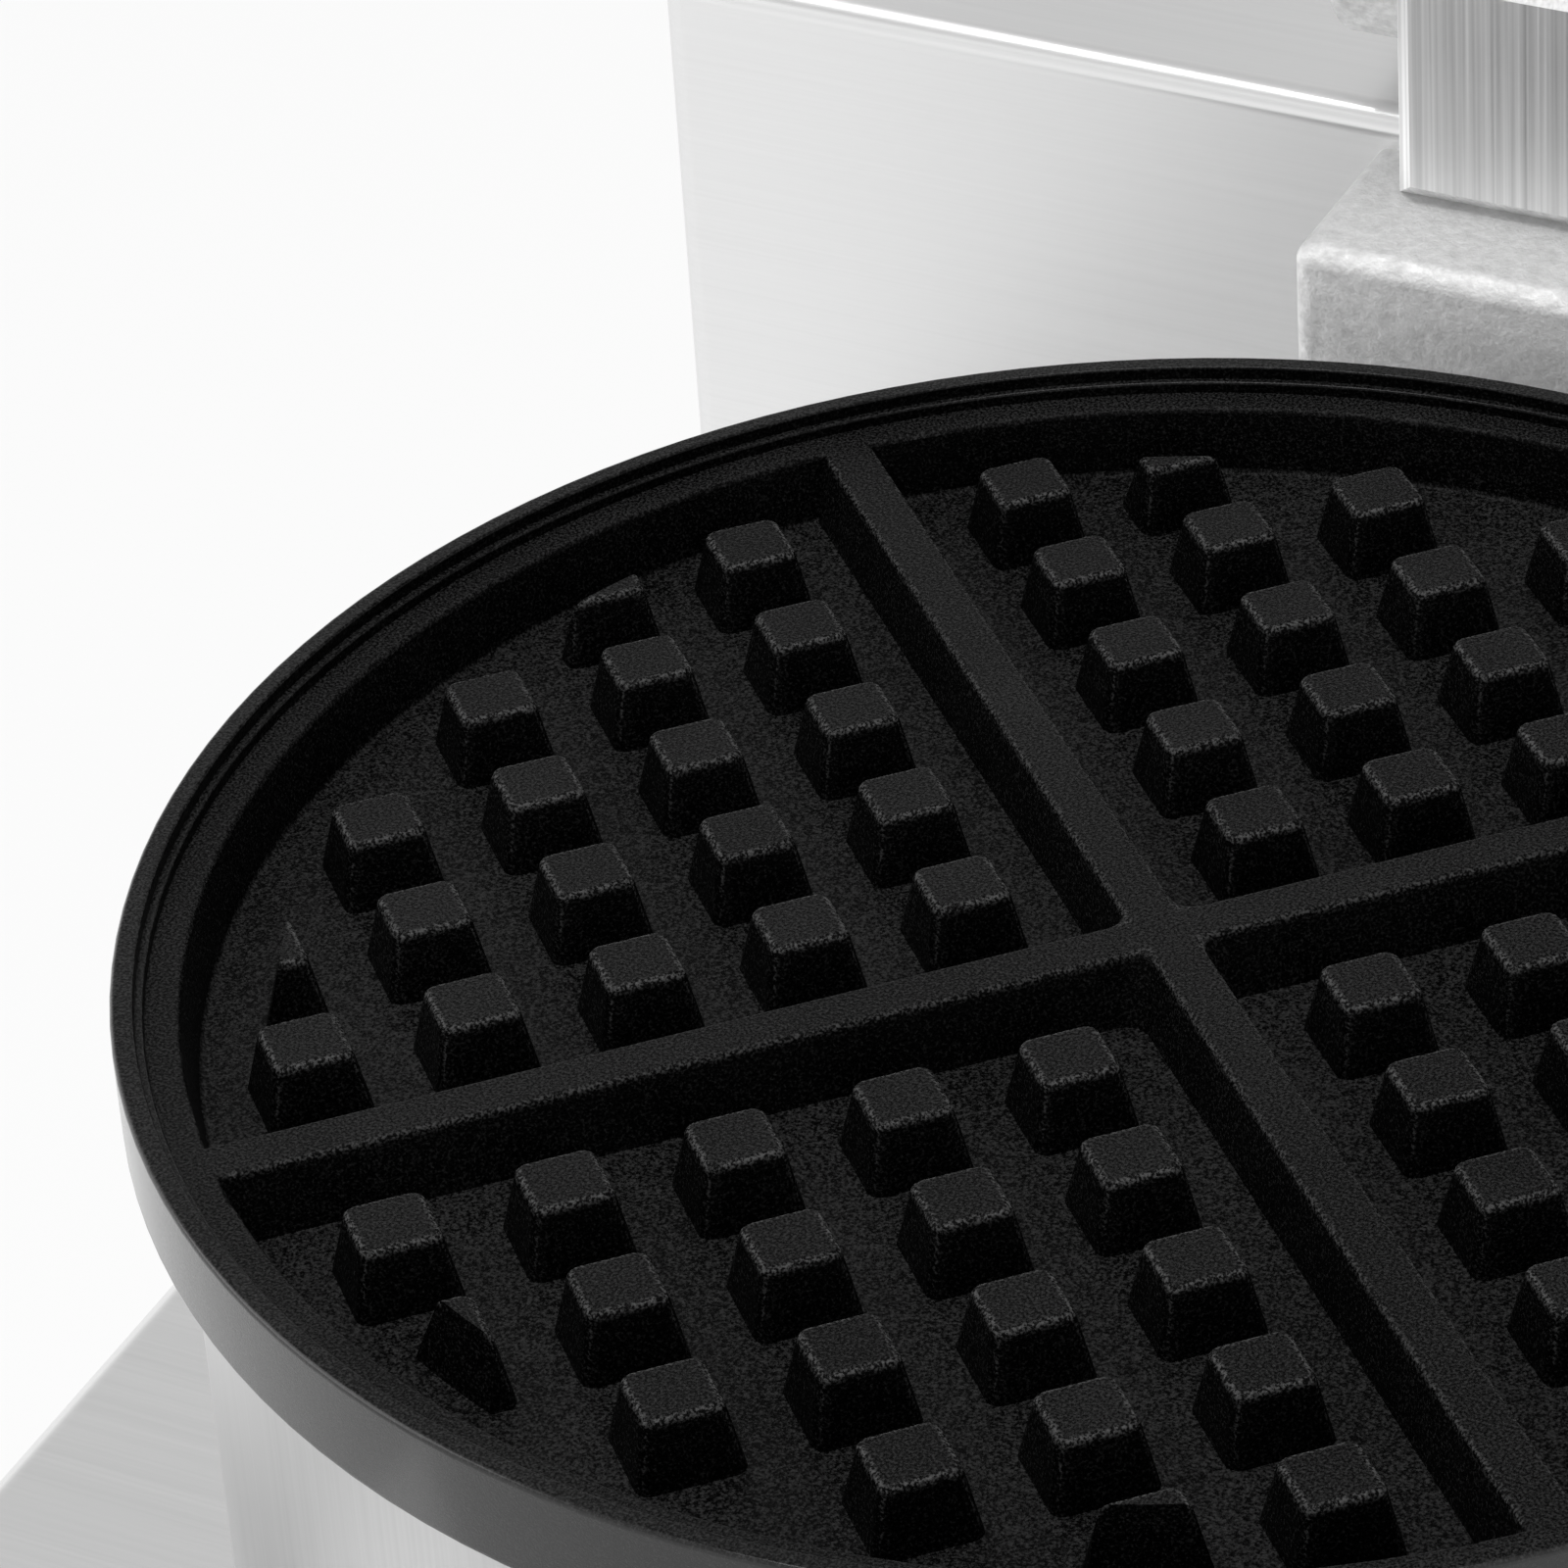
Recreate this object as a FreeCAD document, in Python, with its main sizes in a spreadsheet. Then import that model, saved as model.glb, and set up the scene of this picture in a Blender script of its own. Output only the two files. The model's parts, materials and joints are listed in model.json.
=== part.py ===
import FreeCAD, Part
import math
import os
import re
import Sketcher

# Round counter-top waffle maker with its lid swung open.
# Millimetres. +X right, +Y to the rear, +Z up. The table is at Z 0, under the middle of the whole machine.

Vector = FreeCAD.Vector
Rotation = FreeCAD.Rotation
Placement = FreeCAD.Placement
X_AXIS = Vector(1, 0, 0)
Y_AXIS = Vector(0, 1, 0)
Z_AXIS = Vector(0, 0, 1)

doc = FreeCAD.newDocument("waffle_maker")
sheet = doc.addObject("Spreadsheet::Sheet", "Sizes")

# Sizes that can be set by themselves
DRIVING = {
    # clearances
    "loose_gap": "0.3",
    "thread_gap": "0.1",
    "pin_gap": "0.03",
    "seat_gap": "0.02",
    # folded stainless housings
    "sheet_wall": "1.2",
    "pan_wall": "1.5",
    "bend_radius": "3",
    "base_width": "240",
    "base_reach": "140",
    "base_height": "82",
    "column_setback": "130",
    "column_depth": "84",
    "column_rise": "91",
    "flange_width": "14",
    "foot_height": "18",
    "foot_radius": "16",
    "foot_inset": "26",
    # grid plates
    "plate_rise": "80",
    "plate_radius": "97.7",
    "ring_width": "2.2",
    "ring_height": "2.6",
    "ledge_width": "0.8",
    "ledge_height": "1.2",
    "land_width": "4",
    "wall_run": "1.3",
    "cavity_depth": "6.9",
    "rim_height": "10.4",
    "core_wall": "7",
    "spigot_depth": "8",
    "spigot_wall": "7",
    "edge_round": "0.6",
    "peg_pitch": "16",
    "peg_first": "14.7",
    "peg_top": "7.5",
    "peg_foot": "10.4",
    "peg_corner": "1.4",
    "peg_root": "0.5",
    "peg_round": "0.8",
    "fin_gap": "5.8",
    "fin_draft": "2",
    "divider_top": "4.8",
    "divider_foot": "8.3",
    "divider_corner": "2.4",
    "web_gap": "2.7",
    "spigot_play": "1.6",
    # skirt, heaters and what clamps them
    "skirt_radius": "92.8",
    "heater_circle": "60",
    "heater_tube": "4",
    "heater_split": "30",
    "heater_leg": "26",
    "clamp_wall": "6",
    "clamp_play": "4",
    "stud_circle": "38",
    "stud_radius": "3",
    "stud_bite": "4.5",
    "nut_radius": "5.8",
    "nut_height": "5",
    "wool_height": "32",
    "wool_bore": "12",
    "lead_radius": "1.6",
    # hinge
    "block_width": "67.6",
    "block_depth": "22.7",
    "block_height": "62",
    "block_step": "4",
    "block_round": "2.2",
    "post_width": "55",
    "post_reach": "10",
    "post_chamfer": "2",
    "pin_setback": "10",
    "pin_height": "21",
    "pin_radius": "6",
    "eye_radius": "15",
    "cheek_wall": "9",
    "cheek_gap": "0.5",
    "bush_wall": "2",
    "clip_wall": "1.2",
    "bumper_height": "3.7",
    "bumper_radius": "4",
    "bolt_radius": "3",
    "bolt_bite": "12",
    "backing_wall": "4",
    "bolt_inset": "10",
    "block_wall": "8",
    # lid
    "open_angle": "100",
    "cover_height": "47",
    "cover_round": "12",
    "arm_wall": "12",
    "arm_pad": "46",
    "arm_neck": "22",
    "handle_reach": "20",
    "handle_bore": "5",
    "lug_half": "14",
    "grip_length": "86",
    "grip_radius": "14",
    "cap_length": "7",
    # controls
    "panel_width": "204",
    "panel_height": "62",
    "panel_wall": "1.5",
    "knob_spread": "64",
    "knob_radius": "20",
    "knob_skirt": "5",
    "knob_grip": "16",
    "knob_gap": "1",
    "spindle_radius": "3",
    "lamp_spread": "26",
    "lamp_radius": "5.5",
    "control_depth": "34",
    "rocker_tilt": "9",
    "switch_half": "7.5",
    "switch_rise": "14",
    "switch_bezel": "2.5",
    "switch_wall": "1.4",
    "control_half": "18",
    "knob_round": "2.5",
    # wiring
    "gland_nose": "18",
    "gland_radius": "11",
    "gland_thread": "8",
    "gland_bore": "4.5",
    "screw_radius": "2",
    "screw_head": "4",
    "screw_length": "9",
    "screw_inset": "40",
    "gland_offset": "70",
    "lead_gland_offset": "74",
    "duct_width": "120",
    "bulb_radius": "3",
    "terminal_half": "34",
    "terminal_depth": "24",
    "terminal_height": "22",
}

# Places that follow from them
DERIVED = {
    "rear_reach": "column_setback + column_depth + gland_nose",
    "front_reach": "base_reach + panel_wall + knob_gap + knob_skirt + knob_grip",
    "plate_y": "(front_reach - rear_reach) / 2",
    "base_bottom": "foot_height + pan_wall",
    "base_top": "foot_height + base_height",
    "peg_level": "base_top + plate_rise",
    "column_top": "base_top + column_rise",
    "base_front": "plate_y - base_reach",
    "column_front": "plate_y + column_setback",
    "column_back": "column_front + column_depth",
    "pan_top": "base_bottom",
    "ring_inner": "plate_radius - ring_width",
    "land_inner": "ring_inner - land_width",
    "floor_radius": "land_inner - wall_run",
    "plate_back": "-cavity_depth - core_wall",
    "skirt_inner": "skirt_radius - sheet_wall",
    "spigot_radius": "skirt_inner - loose_gap",
    "spigot_inner": "spigot_radius - spigot_wall",
    "clamp_radius": "spigot_inner - clamp_play",
    "clamp_back": "plate_back - clamp_wall",
    "lower_flange": "ring_height - rim_height",
    "upper_flange": "-rim_height",
    "pin_y": "column_front + pin_setback",
    "pin_z": "column_top + pin_height",
    "block_top": "column_top - block_step",
    "cover_low": "peg_level + web_gap + rim_height",
    "cover_top": "cover_low + cover_height",
    "arm_half": "post_width / 2 + cheek_gap + cheek_wall",
    "arm_low": "cover_top - pin_z",
    "arm_high": "cover_top - pin_z + arm_wall",
    "heel_drop": "pin_height - bumper_height - loose_gap",
    "handle_z": "cover_low + cover_height / 2",
    "panel_front": "base_front - panel_wall",
    "wall_inside": "base_front + sheet_wall",
    "control_z": "base_bottom + (base_top - base_bottom) / 2",
    "knob_back": "panel_front - knob_gap",
    "gland_z": "base_bottom + 2.4 * gland_radius",
    "terminal_front": "column_back - terminal_depth * 2.5",
    "bolt_head": "bolt_radius * 1.7",
    "bolt_socket": "bolt_radius * 0.8",
    "screw_dome": "screw_head * 0.6",
    "screw_brim": "screw_head * 0.3",
    "bush_radius": "spindle_radius * 1.7",
    "lamp_body": "lamp_radius * 0.8",
    "thin_nut": "nut_height * 0.7",
    "flange_line": "flange_width * 0.6",
    "arm_root": "eye_radius * 2.4",
    "arm_waist": "arm_pad * 0.7",
    "gland_cap": "gland_radius * 0.86",
    "gland_collar": "gland_nose * 0.4",
    "trunnion_radius": "spindle_radius * 0.5",
    "rocker_back": "switch_bezel * 0.6",
    "rocker_depth": "switch_bezel * 1.6",
    "cap_radius": "handle_bore * 1.8",
    "cap_depth": "cap_length * 0.75",
    "bar_half": "knob_radius * 0.26",
    "bar_reach": "knob_radius * 0.8",
    "foot_sole": "foot_radius * 0.86",
    "stud_tail": "nut_height * 1.6",
    "panel_inset": "screw_head * 1.6",
    "clip_gap": "pin_radius * 0.6",
    "fine_round": "edge_round * 0.5",
    "spindle_bite": "control_depth * 0.4",
    "knob_socket": "knob_grip * 0.6",
    "lug_depth": "handle_reach * 0.6",
    "lug_floor": "handle_reach * 0.4",
    "lid_wool": "wool_height * 0.7",
    "pole_low": "terminal_height * 0.7",
    "pole_depth": "terminal_height * 0.3",
    "lid_gland_x": "skirt_radius * 0.6",
    "lid_gland_y": "skirt_radius * 0.3",
    "heel_low": "eye_radius * 0.3",
    "grip_root": "grip_radius * 0.78",
    "grip_tip": "grip_radius * 0.84",
    "knob_brim": "knob_skirt * 0.6",
    "knob_top": "knob_radius * 0.86",
}
for row, (name, formula) in enumerate(list(DRIVING.items()) + list(DERIVED.items()), 1):
    cell = f"B{row}"
    sheet.set(f"A{row}", name)
    sheet.set(cell, formula if name in DRIVING else f"={formula}")
    sheet.setAlias(cell, name)
doc.recompute()


def on_sheet(formula):
    """Turn the size names in a formula into references to the sheet's cells."""
    def refer(word):
        known = word.group(0) in DRIVING or word.group(0) in DERIVED
        return f"Sizes.{word.group(0)}" if known else word.group(0)
    return re.sub(r"[a-z_]+", refer, str(formula))


def value(formula):
    """Number that a formula on the sheet comes to."""
    return float(sheet.evalExpression(on_sheet(formula)))


def bind(solid, **formulas):
    """Tie an object's properties to formulas on the sheet."""
    for name, formula in formulas.items():
        solid.setExpression(name, on_sheet(formula))


def seat(solid, x="0", y="0", z="0"):
    """Tie an object's place to formulas on the sheet."""
    for axis, formula in zip("xyz", (x, y, z)):
        solid.setExpression(f"Placement.Base.{axis}", on_sheet(formula))


def box(name, x, y, z):
    """Block between a low and a high formula on each axis."""
    solid = doc.addObject("Part::Box", name)
    bind(solid, Length=f"({x[1]}) - ({x[0]})", Width=f"({y[1]}) - ({y[0]})", Height=f"({z[1]}) - ({z[0]})")
    seat(solid, x[0], y[0], z[0])
    return solid


ALONG = {"x": Rotation(Y_AXIS, 90), "y": Rotation(X_AXIS, -90), "z": Rotation()}


def rod(name, axis, start, length, radius):
    """Round bar from a start point along +X, +Y or +Z."""
    solid = doc.addObject("Part::Cylinder", name)
    solid.Placement = Placement(Vector(), ALONG[axis])
    bind(solid, Height=length, Radius=radius)
    seat(solid, *start)
    return solid


def joined(name, *solids):
    """One solid from several that meet."""
    whole = doc.addObject("Part::MultiFuse", name)
    whole.Shapes = list(solids)
    whole.Refine = True
    return whole


def carved(name, base, *tools):
    """A solid with the shapes of the tools taken out of it."""
    cutter = tools[0] if len(tools) == 1 else joined(f"{name}_cutter", *tools)
    whole = doc.addObject("Part::Cut", name)
    whole.Base = base
    whole.Tool = cutter
    return whole


def eased(name, base, radius, test):
    """A solid with a round on each edge whose middle passes the test."""
    doc.recompute()
    whole = doc.addObject("Part::Fillet", name)
    whole.Base = base
    size = value(radius)
    whole.Edges = [(n, size, size) for n, edge in enumerate(base.Shape.Edges, 1) if test(edge.CenterOfMass)]
    return whole


def near(number, formula):
    """Whether a measured number is where a formula says."""
    return abs(number - value(formula)) < 0.001


def outline(body, role, corners):
    """Closed sketch of straight lines on one of a body's own planes, each corner tied to the sheet."""
    sketch = body.newObject("Sketcher::SketchObject", f"{body.Name}_outline")
    plane = [feature for feature in body.Origin.OriginFeatures if feature.Role == role][0]
    sketch.AttachmentSupport = (plane, "")
    sketch.MapMode = "FlatFace"
    places = [Vector(value(u), value(v), 0) for u, v in corners]
    count = len(corners)
    for n in range(count):
        sketch.addGeometry(Part.LineSegment(places[n], places[(n + 1) % count]), False)
    for n in range(count):
        sketch.addConstraint(Sketcher.Constraint("Coincident", n, 2, (n + 1) % count, 1))
    for n, corner in enumerate(corners):
        for kind, formula in zip(("DistanceX", "DistanceY"), corner):
            index = sketch.addConstraint(Sketcher.Constraint(kind, -1, 1, n, 1, value(formula)))
            sketch.setExpression(f"Constraints[{index}]", on_sheet(formula))
    return sketch


def turned(name, corners):
    """Body turned about its own Z axis from (radius, height) corners; a third formula rounds that corner."""
    body = doc.addObject("PartDesign::Body", name)
    sketch = outline(body, "XZ_Plane", [corner[:2] for corner in corners])
    turn = body.newObject("PartDesign::Revolution", f"{name}_turn")
    turn.Profile = sketch
    turn.ReferenceAxis = (sketch, ["V_Axis"])
    turn.Angle = 360
    doc.recompute()
    last = turn
    for n, corner in enumerate([corner for corner in corners if len(corner) == 3]):
        edges = [f"Edge{index}" for index, edge in enumerate(last.Shape.Edges, 1)
                 if isinstance(edge.Curve, Part.Circle)
                 and near(edge.Curve.Radius, corner[0]) and near(edge.CenterOfMass.z, corner[1])]
        round_off = body.newObject("PartDesign::Fillet", f"{name}_round_{n}")
        round_off.Base = (last, edges)
        bind(round_off, Radius=corner[2])
        doc.recompute()
        last = round_off
    return body


def pushed(name, role, corners, length):
    """Body pushed out of an outline, evenly to both sides of its plane."""
    body = doc.addObject("PartDesign::Body", name)
    push = body.newObject("PartDesign::Pad", f"{name}_push")
    push.Profile = outline(body, role, corners)
    push.SideType = "Symmetric"
    bind(push, Length=length)
    doc.recompute()
    return body


nodes = []


def piece(solid, label, place=None):
    """Name a finished sub-part and give it its place."""
    if place is None:
        node = solid
    else:
        solid.Label = f"{label}_shape"
        node = doc.addObject("Part::Compound", f"{label}_placed")
        node.Links = [solid]
        node.Placement = place
    node.Label = label
    nodes.append(node)
    return node


def copies(master, label, places):
    """One sub-part made of several alike solids."""
    doc.recompute()
    node = doc.addObject("Part::Feature", label)
    node.Shape = Part.makeCompound([master.Shape.transformed((place).toMatrix()) for place in places])
    node.Label = label
    nodes.append(node)
    return node


def at(x, y, z, turn=None):
    """Placement from three formulas and a turn."""
    return Placement(Vector(value(x), value(y), value(z)), turn or Rotation())


def corners_of(x, y):
    """The four sign pairs of a rectangle as formulas."""
    return [(f"{sx}({x})", f"{sy}({y})") for sx in ("", "-") for sy in ("", "-")]


# The lid is drawn shut and then swung back about the pin
PIN = Vector(0, value("pin_y"), value("pin_z"))
LID_OPEN = Placement(PIN, Rotation(X_AXIS, -value("open_angle"))) * Placement(-PIN, Rotation())
LOWER_PLACE = at("0", "plate_y", "peg_level")
UPPER_PLACE = LID_OPEN * at("0", "plate_y", "peg_level + web_gap", Rotation(Y_AXIS, 180))
FACE_DOWN = Rotation(X_AXIS, 180)
FACE_FRONT = Rotation(X_AXIS, 90)
FACE_REAR = Rotation(X_AXIS, -90)

# Fasteners that repeat: each stands on its head's seat, shank down
small_screw = turned("small_screw", [
    ("0", "-screw_length"), ("screw_radius", "-screw_length"), ("screw_radius", "0"),
    ("screw_head", "0"), ("screw_head", "screw_brim"), ("screw_dome", "screw_dome"),
    ("0", "screw_dome")])
cap_bolt = turned("cap_bolt", [
    ("0", "-bolt_bite - backing_wall - sheet_wall"),
    ("bolt_radius", "-bolt_bite - backing_wall - sheet_wall"),
    ("bolt_radius", "0"), ("bolt_head", "0"), ("bolt_head", "bolt_head"),
    ("bolt_socket", "bolt_head"), ("bolt_socket", "bolt_radius"), ("0", "bolt_radius")])


def hex_nut(name, bore, radius, height):
    """Six-sided nut that stands on Z 0."""
    prism = doc.addObject("Part::Prism", f"{name}_blank")
    prism.Polygon = 6
    bind(prism, Circumradius=radius, Height=height)
    return carved(name, prism, rod(f"{name}_bore", "z", ("0", "0", "0"), height, bore))


# Rubber feet, each held by a screw and a nut through the pan
FOOT_PLACES = []
for side_x in ("-", ""):
    for foot_y in ("base_front + foot_inset", "column_back - foot_inset"):
        FOOT_PLACES.append((f"{side_x}(base_width / 2 - foot_inset)", foot_y))
foot = turned("foot", [
    ("screw_radius + thread_gap", "foot_height"), ("screw_radius + thread_gap", "foot_height / 2"),
    ("screw_head + thread_gap", "foot_height / 2"), ("screw_head + thread_gap", "0"),
    ("foot_sole", "0", "edge_round * 2"), ("foot_radius", "foot_height", "edge_round")])
copies(foot, "rubber_feet", [at(x, y, "0") for x, y in FOOT_PLACES])
foot_screw = turned("foot_screw", [
    ("0", "foot_height / 2 - screw_dome"), ("screw_head * 0.7", "foot_height / 2 - screw_dome"),
    ("screw_head", "foot_height / 2"), ("screw_radius", "foot_height / 2"),
    ("screw_radius", "base_bottom + sheet_wall + nut_height"),
    ("0", "base_bottom + sheet_wall + nut_height")])
copies(foot_screw, "foot_screws", [at(x, y, "0") for x, y in FOOT_PLACES])
foot_nut = hex_nut("foot_nut", "screw_radius + seat_gap", "screw_head", "thin_nut")
copies(foot_nut, "foot_nuts", [at(x, y, "base_bottom + sheet_wall") for x, y in FOOT_PLACES])

# Base pan: bottom sheet with vent slots, clamped between the feet and the shell's corner tabs
pan_blank = eased("pan_blank", box(
    "pan_sheet", ("-base_width / 2", "base_width / 2"), ("base_front", "column_back"),
    ("foot_height", "base_bottom")), "bend_radius",
    lambda middle: near(middle.z, "foot_height + pan_wall / 2"))
VENT_COUNT = 8
VENT_STEP = "12"
VENT_WIDTH = "5"
VENT_LENGTH = "90"
pan_cuts = []
for n in range(VENT_COUNT):
    vent_y = f"plate_y + ({n} - {VENT_COUNT - 1} / 2) * {VENT_STEP}"
    pan_cuts.append(box(f"pan_vent_{n}", (f"-{VENT_LENGTH} / 2", f"{VENT_LENGTH} / 2"),
                        (f"{vent_y} - {VENT_WIDTH} / 2", f"{vent_y} + {VENT_WIDTH} / 2"),
                        ("0", "base_bottom + pan_wall")))
for n, (x, y) in enumerate(FOOT_PLACES):
    pan_cuts.append(rod(f"pan_hole_{n}", "z", (x, y, "0"), "base_bottom + pan_wall",
        "screw_radius + thread_gap"))
piece(carved("base_pan", pan_blank, *pan_cuts), "base_pan")

# Base shell: folded tray, open below, with a tab in each corner for the foot screws
shell_outer = eased("shell_outer", box(
    "shell_block", ("-base_width / 2", "base_width / 2"), ("base_front", "column_back"),
    ("base_bottom", "base_top")), "bend_radius", lambda middle: not near(middle.z, "base_bottom"))
shell_inner = eased("shell_inner", box(
    "shell_space", ("-base_width / 2 + sheet_wall", "base_width / 2 - sheet_wall"),
    ("base_front + sheet_wall", "column_back - sheet_wall"), ("base_bottom", "base_top - sheet_wall")),
    "bend_radius - sheet_wall", lambda middle: not near(middle.z, "base_bottom"))
shell_tray = carved("shell_tray", shell_outer, shell_inner)
tabs = []
for side, x in (("left", ("-base_width / 2 + sheet_wall", "-base_width / 2 + foot_inset + flange_width")),
                ("right", ("base_width / 2 - foot_inset - flange_width", "base_width / 2 - sheet_wall"))):
    for end, y in (("front", ("base_front + sheet_wall", "base_front + foot_inset + flange_width")),
                   ("rear", ("column_back - foot_inset - flange_width", "column_back - sheet_wall"))):
        tabs.append(box(f"tab_{side}_{end}", x, y, ("base_bottom", "base_bottom + sheet_wall")))
shell_blank = joined("shell_blank", shell_tray, *tabs)

STUD_PLACES = [("stud_circle", "0"), ("-stud_circle", "0"), ("0", "stud_circle"), ("0", "-stud_circle")]
LEG_X = "heater_circle * sin(heater_split / 2)"
LEG_Y = "heater_circle * cos(heater_split / 2)"
COLUMN_SCREWS = []
for side in ("", "-"):
    COLUMN_SCREWS.append((f"{side}(base_width / 2 - screw_inset)",
        "column_front + sheet_wall + flange_width / 2"))
    COLUMN_SCREWS.append((f"{side}(base_width / 2 - sheet_wall - flange_width / 2)",
        "column_back - screw_inset"))
PANEL_SCREWS = corners_of("panel_width / 2 - panel_inset", "panel_height / 2 - panel_inset")

shell_cuts = [rod(f"shell_foot_{n}", "z", (x, y, "base_bottom"), "sheet_wall", "screw_radius + thread_gap")
              for n, (x, y) in enumerate(FOOT_PLACES)]
for n, (x, y) in enumerate(STUD_PLACES):
    shell_cuts.append(rod(f"shell_stud_{n}", "z", (x, f"plate_y + {y}", "base_top - sheet_wall"),
        "sheet_wall",
                          "stud_radius + thread_gap"))
for side in ("", "-"):
    shell_cuts.append(rod(f"shell_lead{side}1", "z", (f"{side}{LEG_X}", f"plate_y + {LEG_Y}",
                          "base_top - sheet_wall"), "sheet_wall", "lead_radius * 2"))
shell_cuts.append(rod("shell_capillary", "z", ("0", "plate_y", "base_top - sheet_wall"), "sheet_wall",
    "wool_bore / 2"))
shell_cuts.append(box("shell_duct", ("-duct_width / 2", "duct_width / 2"),
    ("column_front + flange_width * 2", "column_back - flange_width * 2"),
                      ("base_top - sheet_wall", "base_top")))
for n, (x, y) in enumerate(COLUMN_SCREWS):
    shell_cuts.append(rod(f"shell_column_{n}", "z", (x, y, "base_top - sheet_wall"), "sheet_wall",
                          "screw_radius + thread_gap"))
for side in ("", "-"):
    shell_cuts.append(rod(f"shell_knob{side}1", "y", (f"{side}knob_spread", "base_front", "control_z"),
        "sheet_wall",
                          "bush_radius"))
    shell_cuts.append(rod(f"shell_lamp{side}1", "y", (f"{side}lamp_spread", "base_front", "control_z"),
        "sheet_wall",
                          "lamp_body + thread_gap"))
shell_cuts.append(box("shell_switch", ("-switch_half - loose_gap", "switch_half + loose_gap"),
                      ("base_front", "wall_inside"),
                      ("control_z - switch_rise - loose_gap", "control_z + switch_rise + loose_gap")))
for n, (x, z) in enumerate(PANEL_SCREWS):
    shell_cuts.append(rod(f"shell_panel_{n}", "y", (x, "base_front", f"control_z + {z}"), "sheet_wall",
                          "screw_radius + thread_gap"))
shell_cuts.append(rod("shell_gland", "y", ("-gland_offset", "column_back - sheet_wall", "gland_z"),
    "sheet_wall",
                      "gland_thread + thread_gap"))
piece(carved("base_shell", shell_blank, *shell_cuts), "base_shell")

# Lower skirt: rolled stainless ring with an inward foot, clamped between the base top and the plate
skirt = turned("skirt", [
    ("skirt_inner", "lower_flange"), ("skirt_radius", "lower_flange"), ("skirt_radius", "-plate_rise"),
    ("skirt_inner - flange_width", "-plate_rise"),
    ("skirt_inner - flange_width", "-plate_rise + sheet_wall"),
    ("skirt_inner", "-plate_rise + sheet_wall")])
piece(skirt, "lower_skirt", LOWER_PLACE)

# Peg: drafted square stud with rounded edges, cast in one with the plate, rooted a little under the floor
peg_wedge = doc.addObject("Part::Wedge", "peg_wedge")
bind(peg_wedge, Xmin="-peg_foot / 2", Xmax="peg_foot / 2", Zmin="-peg_foot / 2", Zmax="peg_foot / 2",
     Ymin="-peg_root - cavity_depth", Ymax="0", X2min="-peg_top / 2", X2max="peg_top / 2",
     Z2min="-peg_top / 2", Z2max="peg_top / 2")
peg_wedge.Placement = Placement(Vector(), Rotation(X_AXIS, 90))
peg_sides = eased("peg_sides", peg_wedge, "peg_corner",
    lambda middle: near(middle.z, "-(cavity_depth + peg_root) / 2"))
peg = eased("peg", peg_sides, "peg_round", lambda middle: near(middle.z, "0"))
doc.recompute()

# Rows and columns of the pegs in one quarter; the cut ones keep only their inner corner as a fin
FULL_PEGS = [(1, 1), (1, 2), (1, 3), (1, 4), (1, 5), (2, 1), (2, 2), (2, 3), (2, 4),
             (3, 1), (3, 2), (3, 3), (3, 4), (4, 1), (4, 2), (4, 3), (5, 1)]
CUT_PEGS = [(2, 5), (5, 2)]
QUARTERS = [45, 135, 225, 315]


def peg_field(name, rows):
    """Copies of the peg over the four quarters, standing on the plate's floor."""
    shapes = []
    for quarter in QUARTERS:
        for row, column in rows:
            u = value(f"peg_first + {row - 1} * peg_pitch")
            v = value(f"peg_first + {column - 1} * peg_pitch")
            place = Placement(Vector(), Rotation(Z_AXIS, quarter)) * Placement(Vector(u, v, 0), Rotation())
            shapes.append(peg.Shape.transformed(place.toMatrix()))
    field = doc.addObject("Part::Feature", name)
    field.Shape = Part.makeCompound(shapes)
    return field


slope = doc.addObject("Part::Cone", "slope")
bind(slope, Radius1="floor_radius - fin_gap", Radius2="floor_radius - fin_gap - fin_draft",
     Height="cavity_depth + peg_root")
seat(slope, z="-cavity_depth - peg_root")
cut_pegs = doc.addObject("Part::Common", "cut_pegs")
cut_pegs.Base = peg_field("edge_pegs", CUT_PEGS)
cut_pegs.Tool = slope
whole_pegs = peg_field("whole_pegs", FULL_PEGS)

# Divider cross: two drafted bars over the middle, ending inside the rim
bars = []
for turn in (45, 135):
    bar = pushed(f"bar_{turn}", "XZ_Plane", [
        ("-divider_foot / 2", "-cavity_depth - peg_root"), ("divider_foot / 2", "-cavity_depth - peg_root"),
        ("divider_top / 2", "0"), ("-divider_top / 2", "0")], "land_inner * 2 + land_width")
    bar.Placement = Placement(Vector(), Rotation(Z_AXIS, turn))
    bars.append(bar)
cross = joined("cross", *bars)
cross_inside = eased("cross_inside", cross, "divider_corner", lambda middle: (
    math.hypot(middle.x, middle.y) < value("divider_foot") and not near(middle.z, "0")
    and not near(middle.z, "-cavity_depth - peg_root")))
cross_soft = eased("cross_soft", cross_inside, "edge_round", lambda middle: (
    near(middle.z, "0") and math.hypot(middle.x, middle.y) < value("land_inner")))

heater_ring = doc.addObject("Part::Torus", "heater_ring")
bind(heater_ring, Radius1="heater_circle", Radius2="heater_tube", Angle3="360 - heater_split")
heater_ring.Placement = Placement(Vector(), Rotation(Z_AXIS, 90 + value("heater_split / 2")))
seat(heater_ring, z="plate_back")
heater_groove = doc.addObject("Part::Torus", "heater_groove")
bind(heater_groove, Radius1="heater_circle", Radius2="heater_tube + thread_gap")
seat(heater_groove, z="plate_back")


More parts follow.
